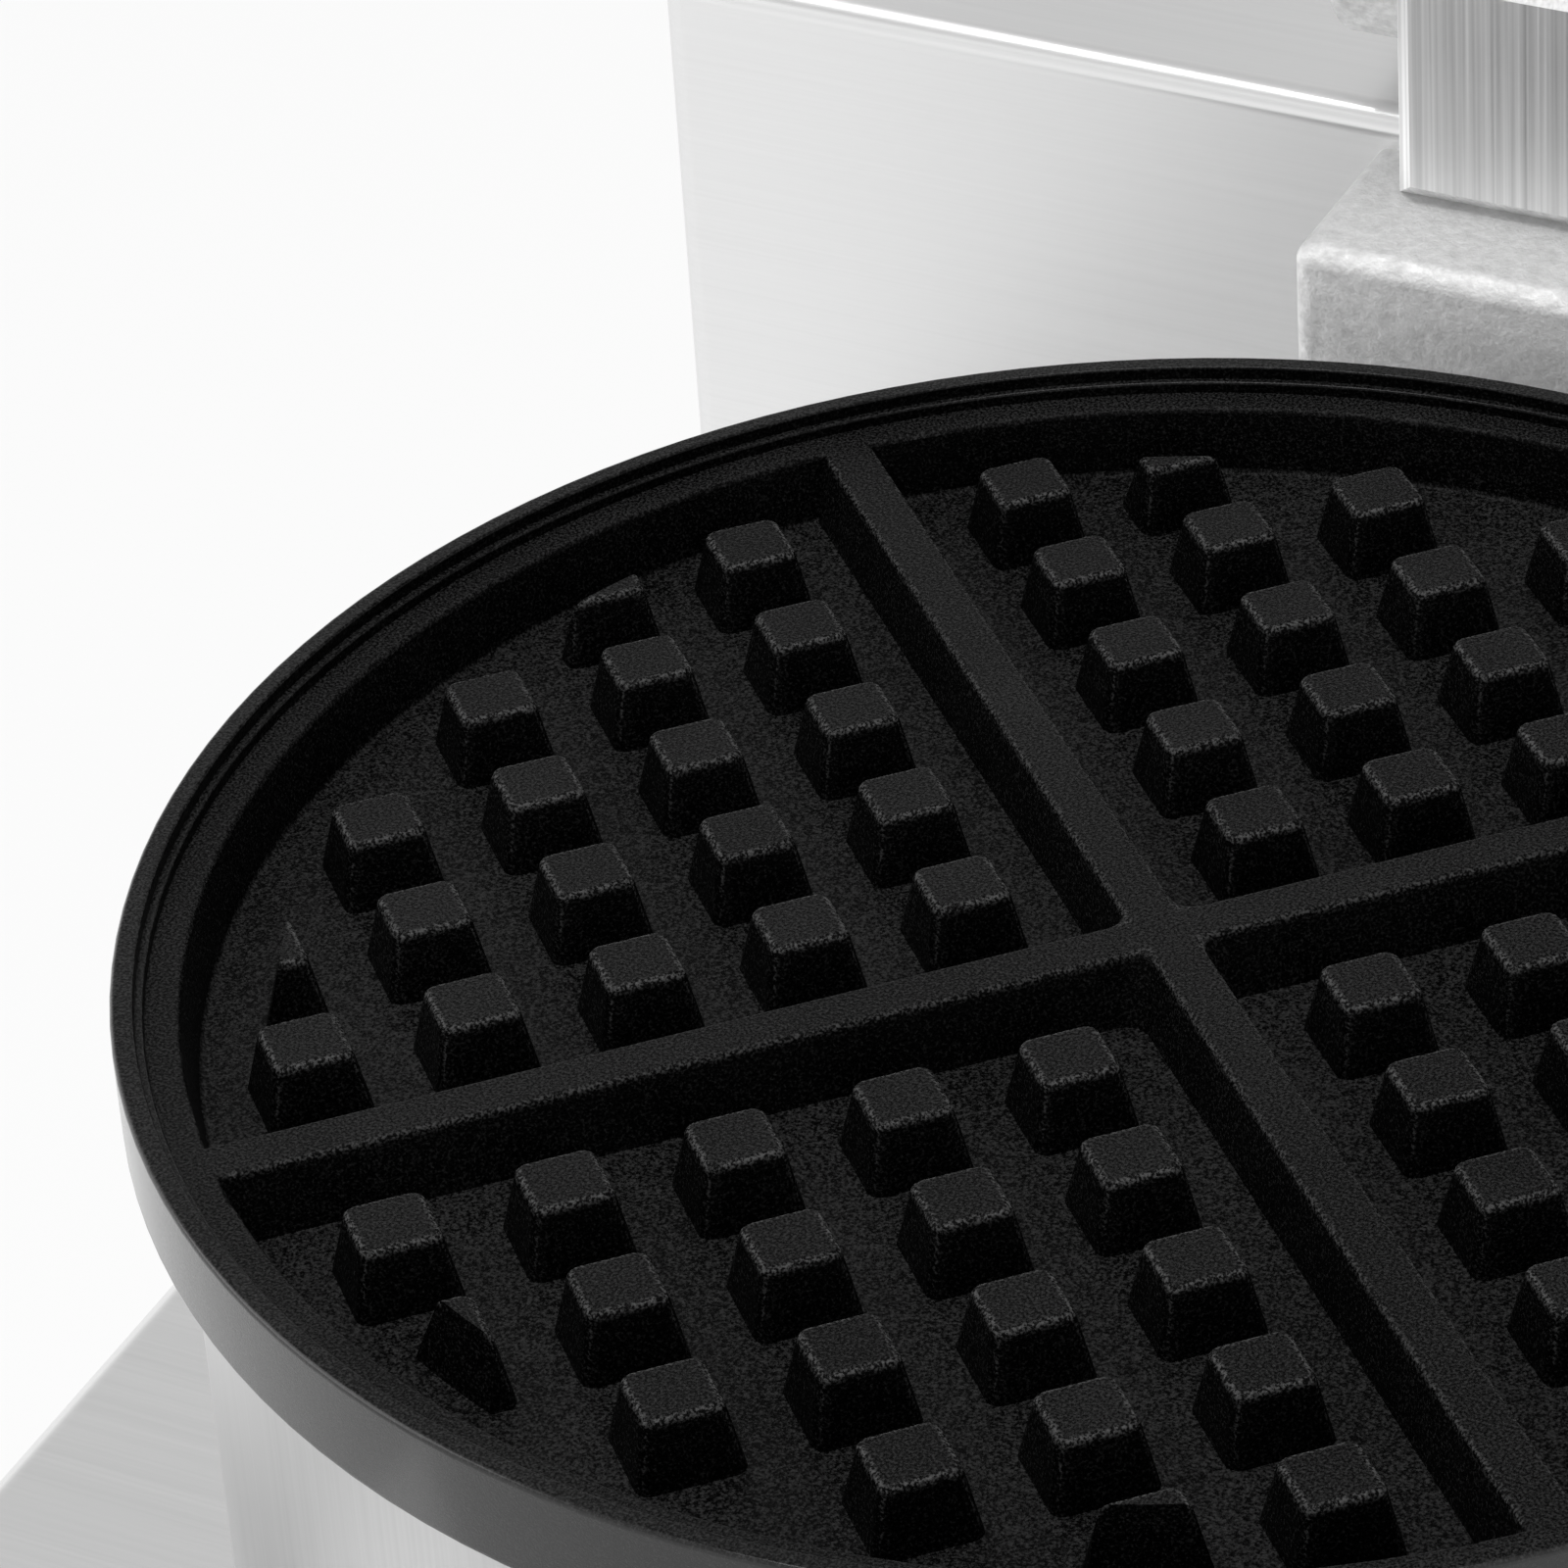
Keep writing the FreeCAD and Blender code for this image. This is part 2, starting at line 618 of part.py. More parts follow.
def grid_plate(label, rim, flange, place):
    """Cast grid plate, pegs up, from its own rim corners; the back has a heater groove and stud holes."""
    disc = turned(f"{label}_disc", [("0", "-cavity_depth"),
        ("floor_radius", "-cavity_depth", "edge_round")] + rim + [
        ("plate_radius", flange, "edge_round"), ("spigot_radius", flange),
        ("spigot_radius", f"{flange} - spigot_depth"),
        ("spigot_inner", f"{flange} - spigot_depth"), ("spigot_inner", "plate_back"), ("0", "plate_back")])
    doc.recompute()
    casting = doc.addObject("Part::Feature", f"{label}_casting")
    casting.Shape = disc.Shape.fuse([cross_soft.Shape, whole_pegs.Shape, cut_pegs.Shape]).removeSplitter()
    cuts = [heater_groove]
    for n, (x, y) in enumerate(STUD_PLACES):
        cuts.append(rod(f"{label}_stud_{n}", "z", (x, y, "plate_back"), "stud_bite",
            "stud_radius + seat_gap"))
    piece(carved(label, casting, *cuts), label, place)


def heater_and_clamp(label, place):
    """Tubular heater ring with two legs, and the plate that clamps it in its grooves."""
    ring = [heater_ring]
    holes = [heater_groove]
    for side in ("", "-"):
        leg = (f"{side}{LEG_X}", LEG_Y, "plate_back - heater_leg")
        ring.append(rod(f"{label}_leg{side}1", "z", leg, "heater_leg", "heater_tube"))
        bend = doc.addObject("Part::Sphere", f"{label}_bend{side}1")
        bind(bend, Radius="heater_tube")
        seat(bend, leg[0], leg[1], "plate_back")
        ring.append(bend)
        holes.append(rod(f"{label}_leg_hole{side}1", "z", (leg[0], leg[1], "clamp_back"), "clamp_wall",
                         "heater_tube + thread_gap"))
    piece(joined(f"{label}_heater", *ring), f"{label}_heater", place)
    for n, (x, y) in enumerate(STUD_PLACES):
        holes.append(rod(f"{label}_clamp_stud_{n}", "z", (x, y, "clamp_back"), "clamp_wall",
            "stud_radius + thread_gap"))
    disc = rod(f"{label}_clamp_disc", "z", ("0", "0", "clamp_back"), "clamp_wall", "clamp_radius")
    piece(carved(f"{label}_clamp", disc, *holes), f"{label}_clamp", place)


def wool_disc(label, low, high, radius, place):
    """Insulation disc with room for the studs, their nuts and the heater's leads."""
    disc = rod(f"{label}_disc", "z", ("0", "0", low), f"({high}) - ({low})", radius)
    cuts = [rod(f"{label}_core", "z", ("0", "0", low), f"({high}) - ({low})", "wool_bore")]
    for n, (x, y) in enumerate(STUD_PLACES):
        cuts.append(rod(f"{label}_stud_{n}", "z", (x, y, low), f"({high}) - ({low})",
            "nut_radius + loose_gap"))
    for side in ("", "-"):
        cuts.append(rod(f"{label}_leg{side}1", "z", (f"{side}{LEG_X}", LEG_Y, low), f"({high}) - ({low})",
                        "heater_tube + loose_gap"))
    piece(carved(label, disc, *cuts), label, place)


grid_plate("lower_plate", [
    ("land_inner", "0", "edge_round"), ("ring_inner - ledge_width", "0"),
    ("ring_inner - ledge_width", "ledge_height", "fine_round"), ("ring_inner", "ledge_height"),
    ("ring_inner", "ring_height", "fine_round"),
    ("plate_radius", "ring_height", "edge_round")], "lower_flange", LOWER_PLACE)
heater_and_clamp("lower", LOWER_PLACE)
wool_disc("lower_insulation", "-plate_rise + sheet_wall", "-plate_rise + sheet_wall + wool_height",
          "skirt_inner - loose_gap * 2", LOWER_PLACE)

# Studs tie the plate to the base top; nuts press the clamp and pull from under the base top
lower_stud = rod("lower_stud", "z", ("0", "0", "-plate_rise - sheet_wall - stud_tail"),
                 "plate_back + stud_bite + plate_rise + sheet_wall + stud_tail", "stud_radius")
copies(lower_stud, "plate_studs", [LOWER_PLACE * at(x, y, "0") for x, y in STUD_PLACES])
stud_nut = hex_nut("stud_nut", "stud_radius + seat_gap", "nut_radius", "nut_height")
copies(stud_nut, "plate_nuts", [LOWER_PLACE * at(x, y, z) for x, y in STUD_PLACES
                                for z in ("clamp_back - nut_height",
                                "-plate_rise - sheet_wall - nut_height")])

# Column: folded stainless box behind the plate, open below and behind inside its return flanges
column_outer = eased("column_outer", box(
    "column_block", ("-base_width / 2", "base_width / 2"), ("column_front", "column_back"),
    ("base_top", "column_top")), "bend_radius",
    lambda middle: not near(middle.z, "base_top") and not near(middle.y, "column_back"))
column_inner = eased("column_inner", box(
    "column_space", ("-base_width / 2 + sheet_wall", "base_width / 2 - sheet_wall"),
    ("column_front + sheet_wall", "column_back - sheet_wall"),
    ("base_top + sheet_wall", "column_top - sheet_wall")),
    "bend_radius - sheet_wall",
    lambda middle: not near(middle.z, "base_top + sheet_wall") and not near(middle.y,
    "column_back - sheet_wall"))
column_cuts = [
    column_inner,
    box("column_foot_opening", ("-base_width / 2 + sheet_wall + flange_width",
    "base_width / 2 - sheet_wall - flange_width"),
        ("column_front + sheet_wall + flange_width", "column_back - flange_width - sheet_wall"),
        ("base_top", "base_top + sheet_wall")),
    box("column_back_opening", ("-base_width / 2 + sheet_wall + flange_width",
    "base_width / 2 - sheet_wall - flange_width"),
        ("column_back - sheet_wall", "column_back"),
        ("base_top + sheet_wall + flange_width", "column_top - sheet_wall - flange_width"))]
for n, (x, y) in enumerate(COLUMN_SCREWS):
    column_cuts.append(rod(f"column_hole_{n}", "z", (x, y, "base_top"), "sheet_wall",
        "screw_radius + thread_gap"))
COVER_SCREWS = [(x, z) for x in ("-base_width / 2 + sheet_wall + flange_line", "0",
                                 "base_width / 2 - sheet_wall - flange_line")
                for z in ("base_top + sheet_wall + flange_line",
                "column_top - sheet_wall - flange_line")]
for n, (x, z) in enumerate(COVER_SCREWS):
    column_cuts.append(rod(f"column_cover_{n}", "y", (x, "column_back - sheet_wall", z), "sheet_wall",
                           "screw_radius + thread_gap"))
BLOCK_BOLTS = [(x, z) for x in ("-block_width / 2 + bolt_inset", "block_width / 2 - bolt_inset")
               for z in ("block_top - block_wall - bolt_inset", "block_top - block_height + bolt_inset")]
for n, (x, z) in enumerate(BLOCK_BOLTS):
    column_cuts.append(rod(f"column_block_{n}", "y", (x, "column_front", z), "sheet_wall",
        "bolt_radius + thread_gap"))
POST_BOLTS = [(x, y) for x in ("-post_width / 2 + bolt_inset", "post_width / 2 - bolt_inset")
              for y in ("pin_y - eye_radius * 0.1", "pin_y + eye_radius * 0.6")]
for n, (x, y) in enumerate(POST_BOLTS):
    column_cuts.append(rod(f"column_post_{n}", "z", (x, y, "column_top - sheet_wall"), "sheet_wall",
                           "bolt_radius + thread_gap"))
LEAD_GLAND_Y = "column_front + column_depth / 2"
column_cuts.append(rod("column_gland_hole", "z",
    ("lead_gland_offset", LEAD_GLAND_Y, "column_top - sheet_wall"), "sheet_wall",
                       "gland_thread + thread_gap"))
piece(carved("column_shell", column_outer, *column_cuts), "column_shell")
copies(small_screw, "column_screws", [at(x, y, "base_top - sheet_wall", FACE_DOWN) for x,
    y in COLUMN_SCREWS])
column_nut = hex_nut("column_nut", "screw_radius + seat_gap", "screw_head", "thin_nut")
copies(column_nut, "column_nuts", [at(x, y, "base_top + sheet_wall") for x, y in COLUMN_SCREWS])

# Rear cover: flat sheet with louvre slots, screwed to the column's return flanges
cover_sheet = box("cover_sheet", ("-base_width / 2 + bend_radius", "base_width / 2 - bend_radius"),
                  ("column_back", "column_back + sheet_wall"),
                  ("base_top + bend_radius", "column_top - bend_radius"))
LOUVRE_COUNT = 7
LOUVRE_STEP = "7"
LOUVRE_LENGTH = "110"
LOUVRE_WIDTH = "3"
cover_cuts = []
for n in range(LOUVRE_COUNT):
    slot_z = f"base_top + column_rise / 2 + ({n} - {LOUVRE_COUNT - 1} / 2) * {LOUVRE_STEP}"
    cover_cuts.append(box(f"louvre_{n}", (f"-{LOUVRE_LENGTH} / 2", f"{LOUVRE_LENGTH} / 2"),
                          ("column_back", "column_back + sheet_wall"),
                          (f"{slot_z} - {LOUVRE_WIDTH} / 2", f"{slot_z} + {LOUVRE_WIDTH} / 2")))
for n, (x, z) in enumerate(COVER_SCREWS):
    cover_cuts.append(rod(f"cover_hole_{n}", "y", (x, "column_back", z), "sheet_wall",
        "screw_radius + thread_gap"))
piece(carved("rear_cover", cover_sheet, *cover_cuts), "rear_cover")
copies(small_screw, "rear_cover_screws", [at(x, "column_back + sheet_wall", z, FACE_REAR) for x,
    z in COVER_SCREWS])

# Hinge block: rough casting bolted to the column's front from inside, hollow behind
block_solid = eased("block_solid", box(
    "block_box", ("-block_width / 2", "block_width / 2"), ("column_front - block_depth", "column_front"),
    ("block_top - block_height", "block_top")), "block_round",
    lambda middle: not near(middle.y, "column_front"))
block_cuts = [box("block_hollow", ("-block_width / 2 + bolt_inset * 2", "block_width / 2 - bolt_inset * 2"),
                  ("column_front - block_depth + block_wall", "column_front"),
                  ("block_top - block_height + block_wall", "block_top - block_wall"))]
for n, (x, z) in enumerate(BLOCK_BOLTS):
    block_cuts.append(rod(f"block_bolt_{n}", "y", (x, "column_front - bolt_bite", z), "bolt_bite",
                          "bolt_radius + seat_gap"))
piece(carved("hinge_block", block_solid, *block_cuts), "hinge_block")

backing = box("backing", ("-block_width / 2", "block_width / 2"),
              ("column_front + sheet_wall", "column_front + sheet_wall + backing_wall"),
              ("block_top - block_height", "block_top - block_wall"))
backing_cuts = [rod(f"backing_hole_{n}", "y", (x, "column_front + sheet_wall", z), "backing_wall",
                    "bolt_radius + thread_gap") for n, (x, z) in enumerate(BLOCK_BOLTS)]
piece(carved("backing_plate", backing, *backing_cuts), "backing_plate")
copies(cap_bolt, "hinge_bolts", [at(x, "column_front + sheet_wall + backing_wall", z, FACE_REAR)
                                 for x, z in BLOCK_BOLTS])

# Hinge post: machined block that stands on the hinge block and the column top and holds the pin
CROWN = "eye_radius * cos(45)"
POST_FRONT = "-pin_setback - post_reach"
post_body = pushed("post_body", "YZ_Plane", [
    (POST_FRONT, "-pin_height - block_step"), ("-pin_setback - loose_gap", "-pin_height - block_step"),
    ("-pin_setback - loose_gap", "-pin_height"), ("eye_radius", "-pin_height"), ("eye_radius", "0"),
    (CROWN, CROWN), (f"-{CROWN}", CROWN), (POST_FRONT, f"{CROWN} - (pin_setback + post_reach - {CROWN})")],
    "post_width")
post_push = post_body.Tip
post_bevel = post_body.newObject("PartDesign::Chamfer", "post_bevel")
post_front_edges = [f"Edge{n}" for n, edge in enumerate(post_push.Shape.Edges, 1)
                    if near(edge.CenterOfMass.y, POST_FRONT)
                    and edge.CenterOfMass.z < value(f"{CROWN} - (pin_setback + post_reach - {CROWN})") - 0.001]
post_bevel.Base = (post_push, post_front_edges)
bind(post_bevel, Size="post_chamfer")
doc.recompute()
post_crown = rod("post_crown", "x", ("-post_width / 2", "0", "0"), "post_width", "eye_radius")
post_whole = joined("post_whole", post_body, post_crown)
post_cuts = [rod("post_bore", "x", ("-post_width / 2", "0", "0"), "post_width", "pin_radius + seat_gap")]
for n, (x, y) in enumerate(POST_BOLTS):
    post_cuts.append(rod(f"post_bolt_{n}", "z", (x, f"({y}) - pin_y", "-pin_height"), "bolt_bite",
        "bolt_radius + seat_gap"))
piece(carved("hinge_post", post_whole, *post_cuts), "hinge_post", at("0", "pin_y", "pin_z"))
post_bolt = turned("post_bolt", [
    ("0", "-bolt_bite - sheet_wall"), ("bolt_radius", "-bolt_bite - sheet_wall"), ("bolt_radius", "0"),
    ("bolt_head", "0"), ("bolt_head", "bolt_head"), ("0", "bolt_head")])
copies(post_bolt, "post_screws", [at(x, y, "column_top - sheet_wall", FACE_DOWN) for x, y in POST_BOLTS])

# Hinge pin with a groove and a snap ring outside each cheek of the lid arm
CLIP_START = "arm_half + loose_gap"
PIN_HALF = "arm_half + loose_gap + clip_wall * 3"
pin = turned("pin", [
    ("0", f"-({PIN_HALF})"), ("pin_radius", f"-({PIN_HALF})", "edge_round"),
    ("pin_radius", f"-({CLIP_START} + clip_wall + seat_gap)"),
    ("pin_radius - clip_wall", f"-({CLIP_START} + clip_wall + seat_gap)"),
    ("pin_radius - clip_wall", f"-({CLIP_START} - seat_gap)"), ("pin_radius", f"-({CLIP_START} - seat_gap)"),
    ("pin_radius", f"{CLIP_START} - seat_gap"), ("pin_radius - clip_wall", f"{CLIP_START} - seat_gap"),
    ("pin_radius - clip_wall", f"{CLIP_START} + clip_wall + seat_gap"),
    ("pin_radius", f"{CLIP_START} + clip_wall + seat_gap"),
    ("pin_radius", PIN_HALF, "edge_round"), ("0", PIN_HALF)])
ACROSS = Rotation(Y_AXIS, 90)
piece(pin, "hinge_pin", at("0", "pin_y", "pin_z", ACROSS))
clip_ring = turned("clip_ring", [
    ("pin_radius - clip_wall + seat_gap", "0"), ("pin_radius + clip_wall * 2", "0"),
    ("pin_radius + clip_wall * 2", "clip_wall"), ("pin_radius - clip_wall + seat_gap", "clip_wall")])
clip = carved("clip", clip_ring, box("clip_mouth", ("0", "pin_radius * 2"),
    ("-clip_gap", "clip_gap"),
                                     ("0", "clip_wall")))
copies(clip, "hinge_clips", [at(x, "pin_y", "pin_z", ACROSS) for x in (CLIP_START,
    f"-({CLIP_START} + clip_wall)")])

# Rubber bumpers on the column top that the open lid's arm leans on
BUMPER_X = "arm_half - cheek_wall / 2"
BUMPER_Y = "pin_y + heel_drop + bumper_radius"
bumper = turned("bumper", [("0", "0"), ("bumper_radius", "0"),
    ("bumper_radius", "bumper_height", "edge_round"),
                           ("0", "bumper_height")])
copies(bumper, "stop_bumpers", [at(f"{side}({BUMPER_X})", BUMPER_Y, "column_top") for side in ("", "-")])

# Lid arm: cast yoke, two cheeks on the pin and a spine over the cover to its middle, drawn about the pin
HEEL = "heel_drop"
HEEL_TOP_RUN = f"(arm_high + {HEEL} * cos(open_angle)) / sin(open_angle)"
cheek_corners = [
    (f"{HEEL} * sin(open_angle) + heel_low * cos(open_angle)",
    f"heel_low * sin(open_angle) - {HEEL} * cos(open_angle)"),
    (f"{HEEL} * sin(open_angle) + {HEEL_TOP_RUN} * cos(open_angle)", "arm_high"),
    ("-arm_root", "arm_high"), ("-arm_root", "arm_low"),
    ("-eye_radius", "0"), ("0", "-eye_radius * 0.5")]
arm_parts = []
for side in ("", "-"):
    cheek = pushed(f"cheek{side}1", "YZ_Plane", cheek_corners, "cheek_wall")
    seat(cheek, f"{side}({BUMPER_X})")
    arm_parts.append(cheek)
    arm_parts.append(rod(f"eye{side}1", "x", (f"{side}({BUMPER_X}) - cheek_wall / 2", "0", "0"),
        "cheek_wall", "eye_radius"))
ARM_REAR = "-eye_radius * 0.2"
ARM_MIDDLE = "-pin_setback - column_setback"
spine = doc.addObject("PartDesign::Body", "spine")
spine_push = spine.newObject("PartDesign::Pad", "spine_push")
spine_push.Profile = outline(spine, "XY_Plane", [
    ("-arm_half", ARM_REAR), ("-arm_half", "-arm_root"),
    ("-arm_neck", f"{ARM_MIDDLE} + arm_waist"),
    ("arm_neck", f"{ARM_MIDDLE} + arm_waist"), ("arm_half", "-arm_root"),
    ("arm_half", ARM_REAR)])
bind(spine_push, Length="arm_wall")
seat(spine, z="arm_low")
arm_parts.append(spine)
arm_parts.append(rod("arm_pad_disc", "z", ("0", ARM_MIDDLE, "arm_low"), "arm_wall", "arm_pad"))
arm_whole = joined("arm_whole", *arm_parts)
arm_soft = eased("arm_soft", arm_whole, "block_round", lambda middle: (
    near(middle.z, "arm_high") and middle.y < value("-arm_root") + 0.001))
arm_cuts = [rod(f"arm_bush_{side}1", "x", (f"{side}({BUMPER_X}) - cheek_wall / 2", "0", "0"), "cheek_wall",
                "pin_radius + pin_gap + bush_wall + seat_gap") for side in ("", "-")]
for n, (x, y) in enumerate(STUD_PLACES):
    arm_cuts.append(rod(f"arm_stud_{n}", "z", (x, f"{ARM_MIDDLE} + {y}", "arm_low"), "arm_wall",
        "stud_radius + thread_gap"))
AT_PIN = LID_OPEN * at("0", "pin_y", "pin_z")
piece(carved("lid_arm", arm_soft, *arm_cuts), "lid_arm", AT_PIN)
bush = turned("bush", [
    ("pin_radius + pin_gap", "-cheek_wall / 2"), ("pin_radius + pin_gap + bush_wall", "-cheek_wall / 2"),
    ("pin_radius + pin_gap + bush_wall", "cheek_wall / 2"), ("pin_radius + pin_gap", "cheek_wall / 2")])
copies(bush, "hinge_bushes", [AT_PIN * at(f"{side}({BUMPER_X})", "0", "0", ACROSS) for side in ("", "-")])

# Upper grid plate, its heater and insulation: as below but face down, with a spigot that enters the ring
grid_plate("upper_plate", [
    ("land_inner", "ring_height", "edge_round"), ("ring_inner - spigot_play", "ring_height", "edge_round"),
    ("ring_inner - spigot_play", "0"), ("plate_radius", "0", "edge_round")], "upper_flange", UPPER_PLACE)
heater_and_clamp("upper", UPPER_PLACE)
wool_disc("upper_insulation", "clamp_back - loose_gap - lid_wool", "clamp_back - loose_gap",
          "clamp_radius", UPPER_PLACE)

# Lid cover: spun stainless drum that sits on the upper plate, with the arm on its flat top
LID_PLACE = LID_OPEN * at("0", "plate_y", "cover_low")
cover_drum = turned("cover_drum", [
    ("skirt_inner", "0"), ("skirt_radius", "0"), ("skirt_radius", "cover_height", "cover_round"),
    ("0", "cover_height"),
    ("0", "cover_height - sheet_wall"), ("skirt_inner", "cover_height - sheet_wall",
    "cover_round - sheet_wall")])
drum_cuts = [rod(f"drum_stud_{n}", "z", (x, y, "cover_height - sheet_wall"), "sheet_wall",
    "stud_radius + thread_gap")
             for n, (x, y) in enumerate(STUD_PLACES)]
LID_GLAND = ("lid_gland_x", "lid_gland_y")
drum_cuts.append(rod("drum_gland", "z", LID_GLAND + ("cover_height - sheet_wall",), "sheet_wall",
    "gland_thread + thread_gap"))
HANDLE_SCREW_RISE = "(handle_bore + screw_radius + edge_round * 2)"
for side in ("", "-"):
    drum_cuts.append(rod(f"drum_handle{side}1", "y",
        ("0", "-skirt_radius", f"cover_height / 2 {side or '+'} {HANDLE_SCREW_RISE}"),
                         "sheet_wall * 2", "screw_radius + thread_gap"))
piece(carved("lid_cover", cover_drum, *drum_cuts), "lid_cover", LID_PLACE)

# Long studs from the upper plate through the cover and the arm, with nuts on the clamp and on the arm
PLATE_UP = LID_OPEN * at("0", "plate_y", "peg_level + web_gap")
ARM_TOP = "rim_height + cover_height + arm_wall"
STUD_LOW = "-plate_back - stud_bite"
lid_stud = rod("lid_stud", "z", ("0", "0", STUD_LOW), f"{ARM_TOP} + nut_height * 1.2 - ({STUD_LOW})",
    "stud_radius")
copies(lid_stud, "lid_studs", [PLATE_UP * at(x, y, "0") for x, y in STUD_PLACES])
copies(stud_nut, "lid_nuts", [PLATE_UP * at(x, y, z) for x,
    y in STUD_PLACES for z in ("-clamp_back", ARM_TOP)])

# Handle: cast lug on the cover's front, a steel rod, a moulded grip and a cap nut, drawn along -Y
HANDLE_PLACE = LID_OPEN * at("0", "plate_y", "handle_z")
lug_box = eased("lug_box", box("lug_block", ("-lug_half", "lug_half"),
    ("-skirt_radius - handle_reach", "-skirt_radius * 0.97"),
                               ("-lug_half", "lug_half")), "block_round",
                               lambda middle: middle.y < value("-skirt_radius * 0.99"))
LUG_BORE = "handle_bore + seat_gap"
lug_cuts = [rod("lug_drum", "z", ("0", "0", "-lug_half * 2"), "lug_half * 4", "skirt_radius + seat_gap"),
            rod("lug_bore", "y", ("0", "-skirt_radius - handle_reach", "0"), "lug_depth", LUG_BORE)]
for side in ("", "-"):
    lug_cuts.append(rod(f"lug_screw{side}1", "y",
        ("0", "-skirt_radius - screw_length", f"{side}{HANDLE_SCREW_RISE}"),
                        "screw_length", "screw_radius + seat_gap"))
piece(carved("handle_bracket", lug_box, *lug_cuts), "handle_bracket", HANDLE_PLACE)
copies(small_screw, "handle_screws", [HANDLE_PLACE * at("0", "-skirt_inner + seat_gap + thread_gap",
    f"{side}{HANDLE_SCREW_RISE}", FACE_REAR)
                                      for side in ("", "-")])
ROD_END = "skirt_radius + handle_reach + grip_length + cap_length * 0.7"
piece(rod("handle_steel", "y", ("0", f"-({ROD_END})", "0"),
    f"{ROD_END} - skirt_radius - lug_floor", "handle_bore"),
      "handle_rod", HANDLE_PLACE)
ALONG_HANDLE = at("0", "-skirt_radius - handle_reach", "0", FACE_FRONT)
GRIP_BORE = value("handle_bore + seat_gap")
GRIP_LENGTH = value("grip_length")
grip_low = Vector(value("grip_root"), 0, 0)
grip_high = Vector(value("grip_tip"), 0, GRIP_LENGTH)
grip_edges = [
    Part.LineSegment(Vector(GRIP_BORE, 0, 0), grip_low),
    Part.Arc(grip_low, Vector(value("grip_radius"), 0, GRIP_LENGTH * 0.55), grip_high),
    Part.LineSegment(grip_high, Vector(GRIP_BORE, 0, GRIP_LENGTH)),
    Part.LineSegment(Vector(GRIP_BORE, 0, GRIP_LENGTH), Vector(GRIP_BORE, 0, 0))]
grip_turn = doc.addObject("Part::Feature", "grip_turn")
grip_face = Part.Face(Part.Wire([edge.toShape() for edge in grip_edges]))
grip_turn.Shape = grip_face.revolve(Vector(), Z_AXIS, 360)
grip = eased("grip", grip_turn, "edge_round * 3", lambda middle: (
    near(middle.z, "0") or near(middle.z, "grip_length")) and math.hypot(middle.x, middle.y) < 0.001)
piece(grip, "handle_grip", HANDLE_PLACE * ALONG_HANDLE)
cap = turned("cap", [
    ("handle_bore + seat_gap", "0"), ("cap_radius", "0"),
    ("cap_radius", "cap_length", "cap_length * 0.5"),
    ("0", "cap_length"), ("0", "cap_depth"), ("handle_bore + seat_gap", "cap_depth")])
piece(cap, "handle_cap", HANDLE_PLACE * ALONG_HANDLE * at("0", "0", "grip_length"))

# Control panel: front plate over the base's front wall, with its screws
panel_blank = eased("panel_blank", box(
    "panel_sheet", ("-panel_width / 2", "panel_width / 2"), ("panel_front", "base_front"),
    ("control_z - panel_height / 2", "control_z + panel_height / 2")), "bend_radius",
    lambda middle: near(middle.y, "panel_front + panel_wall / 2"))
panel_cuts = [box("panel_switch", ("-switch_half - loose_gap", "switch_half + loose_gap"),
                  ("panel_front", "base_front"),
                  ("control_z - switch_rise - loose_gap", "control_z + switch_rise + loose_gap"))]
for side in ("", "-"):
    panel_cuts.append(rod(f"panel_knob{side}1", "y", (f"{side}knob_spread", "panel_front", "control_z"),
        "panel_wall",
                          "bush_radius"))
    panel_cuts.append(rod(f"panel_lamp{side}1", "y", (f"{side}lamp_spread", "panel_front", "control_z"),
        "panel_wall",
                          "lamp_body + thread_gap"))
for n, (x, z) in enumerate(PANEL_SCREWS):
    panel_cuts.append(rod(f"panel_hole_{n}", "y", (x, "panel_front", f"control_z + {z}"), "panel_wall",
                          "screw_radius + thread_gap"))
piece(carved("control_panel", panel_blank, *panel_cuts), "control_panel")
copies(small_screw, "panel_screws", [at(x, "panel_front", f"control_z + {z}", FACE_FRONT) for x,
    z in PANEL_SCREWS])

# Thermostat and timer: bodies on the front wall, each with a spindle and a knob that turn together
knob_disc = turned("knob_disc", [
    ("0", "0"), ("knob_radius", "0", "edge_round"), ("knob_radius", "knob_brim"),
    ("knob_top", "knob_skirt", "edge_round"), ("0", "knob_skirt")])
knob_bar = eased("knob_bar", box(
    "knob_bar_block", ("-bar_half", "bar_half"),
    ("-bar_reach", "bar_reach"),
    ("knob_skirt * 0.9", "knob_skirt + knob_grip")), "knob_round",
    lambda middle: middle.z > value("knob_skirt"))
KNOB_BORE = "knob_skirt + knob_socket"
knob = carved("knob", joined("knob_whole", knob_disc, knob_bar),
              rod("knob_hole", "z", ("0", "0", "0"), KNOB_BORE, "spindle_radius + seat_gap"))
WALL_DEPTH = "knob_gap + panel_wall + sheet_wall"
spindle = rod("spindle", "z", ("0", "0", f"-({WALL_DEPTH}) - spindle_bite + loose_gap"),
              f"{WALL_DEPTH} + spindle_bite + {KNOB_BORE} - loose_gap * 2", "spindle_radius")
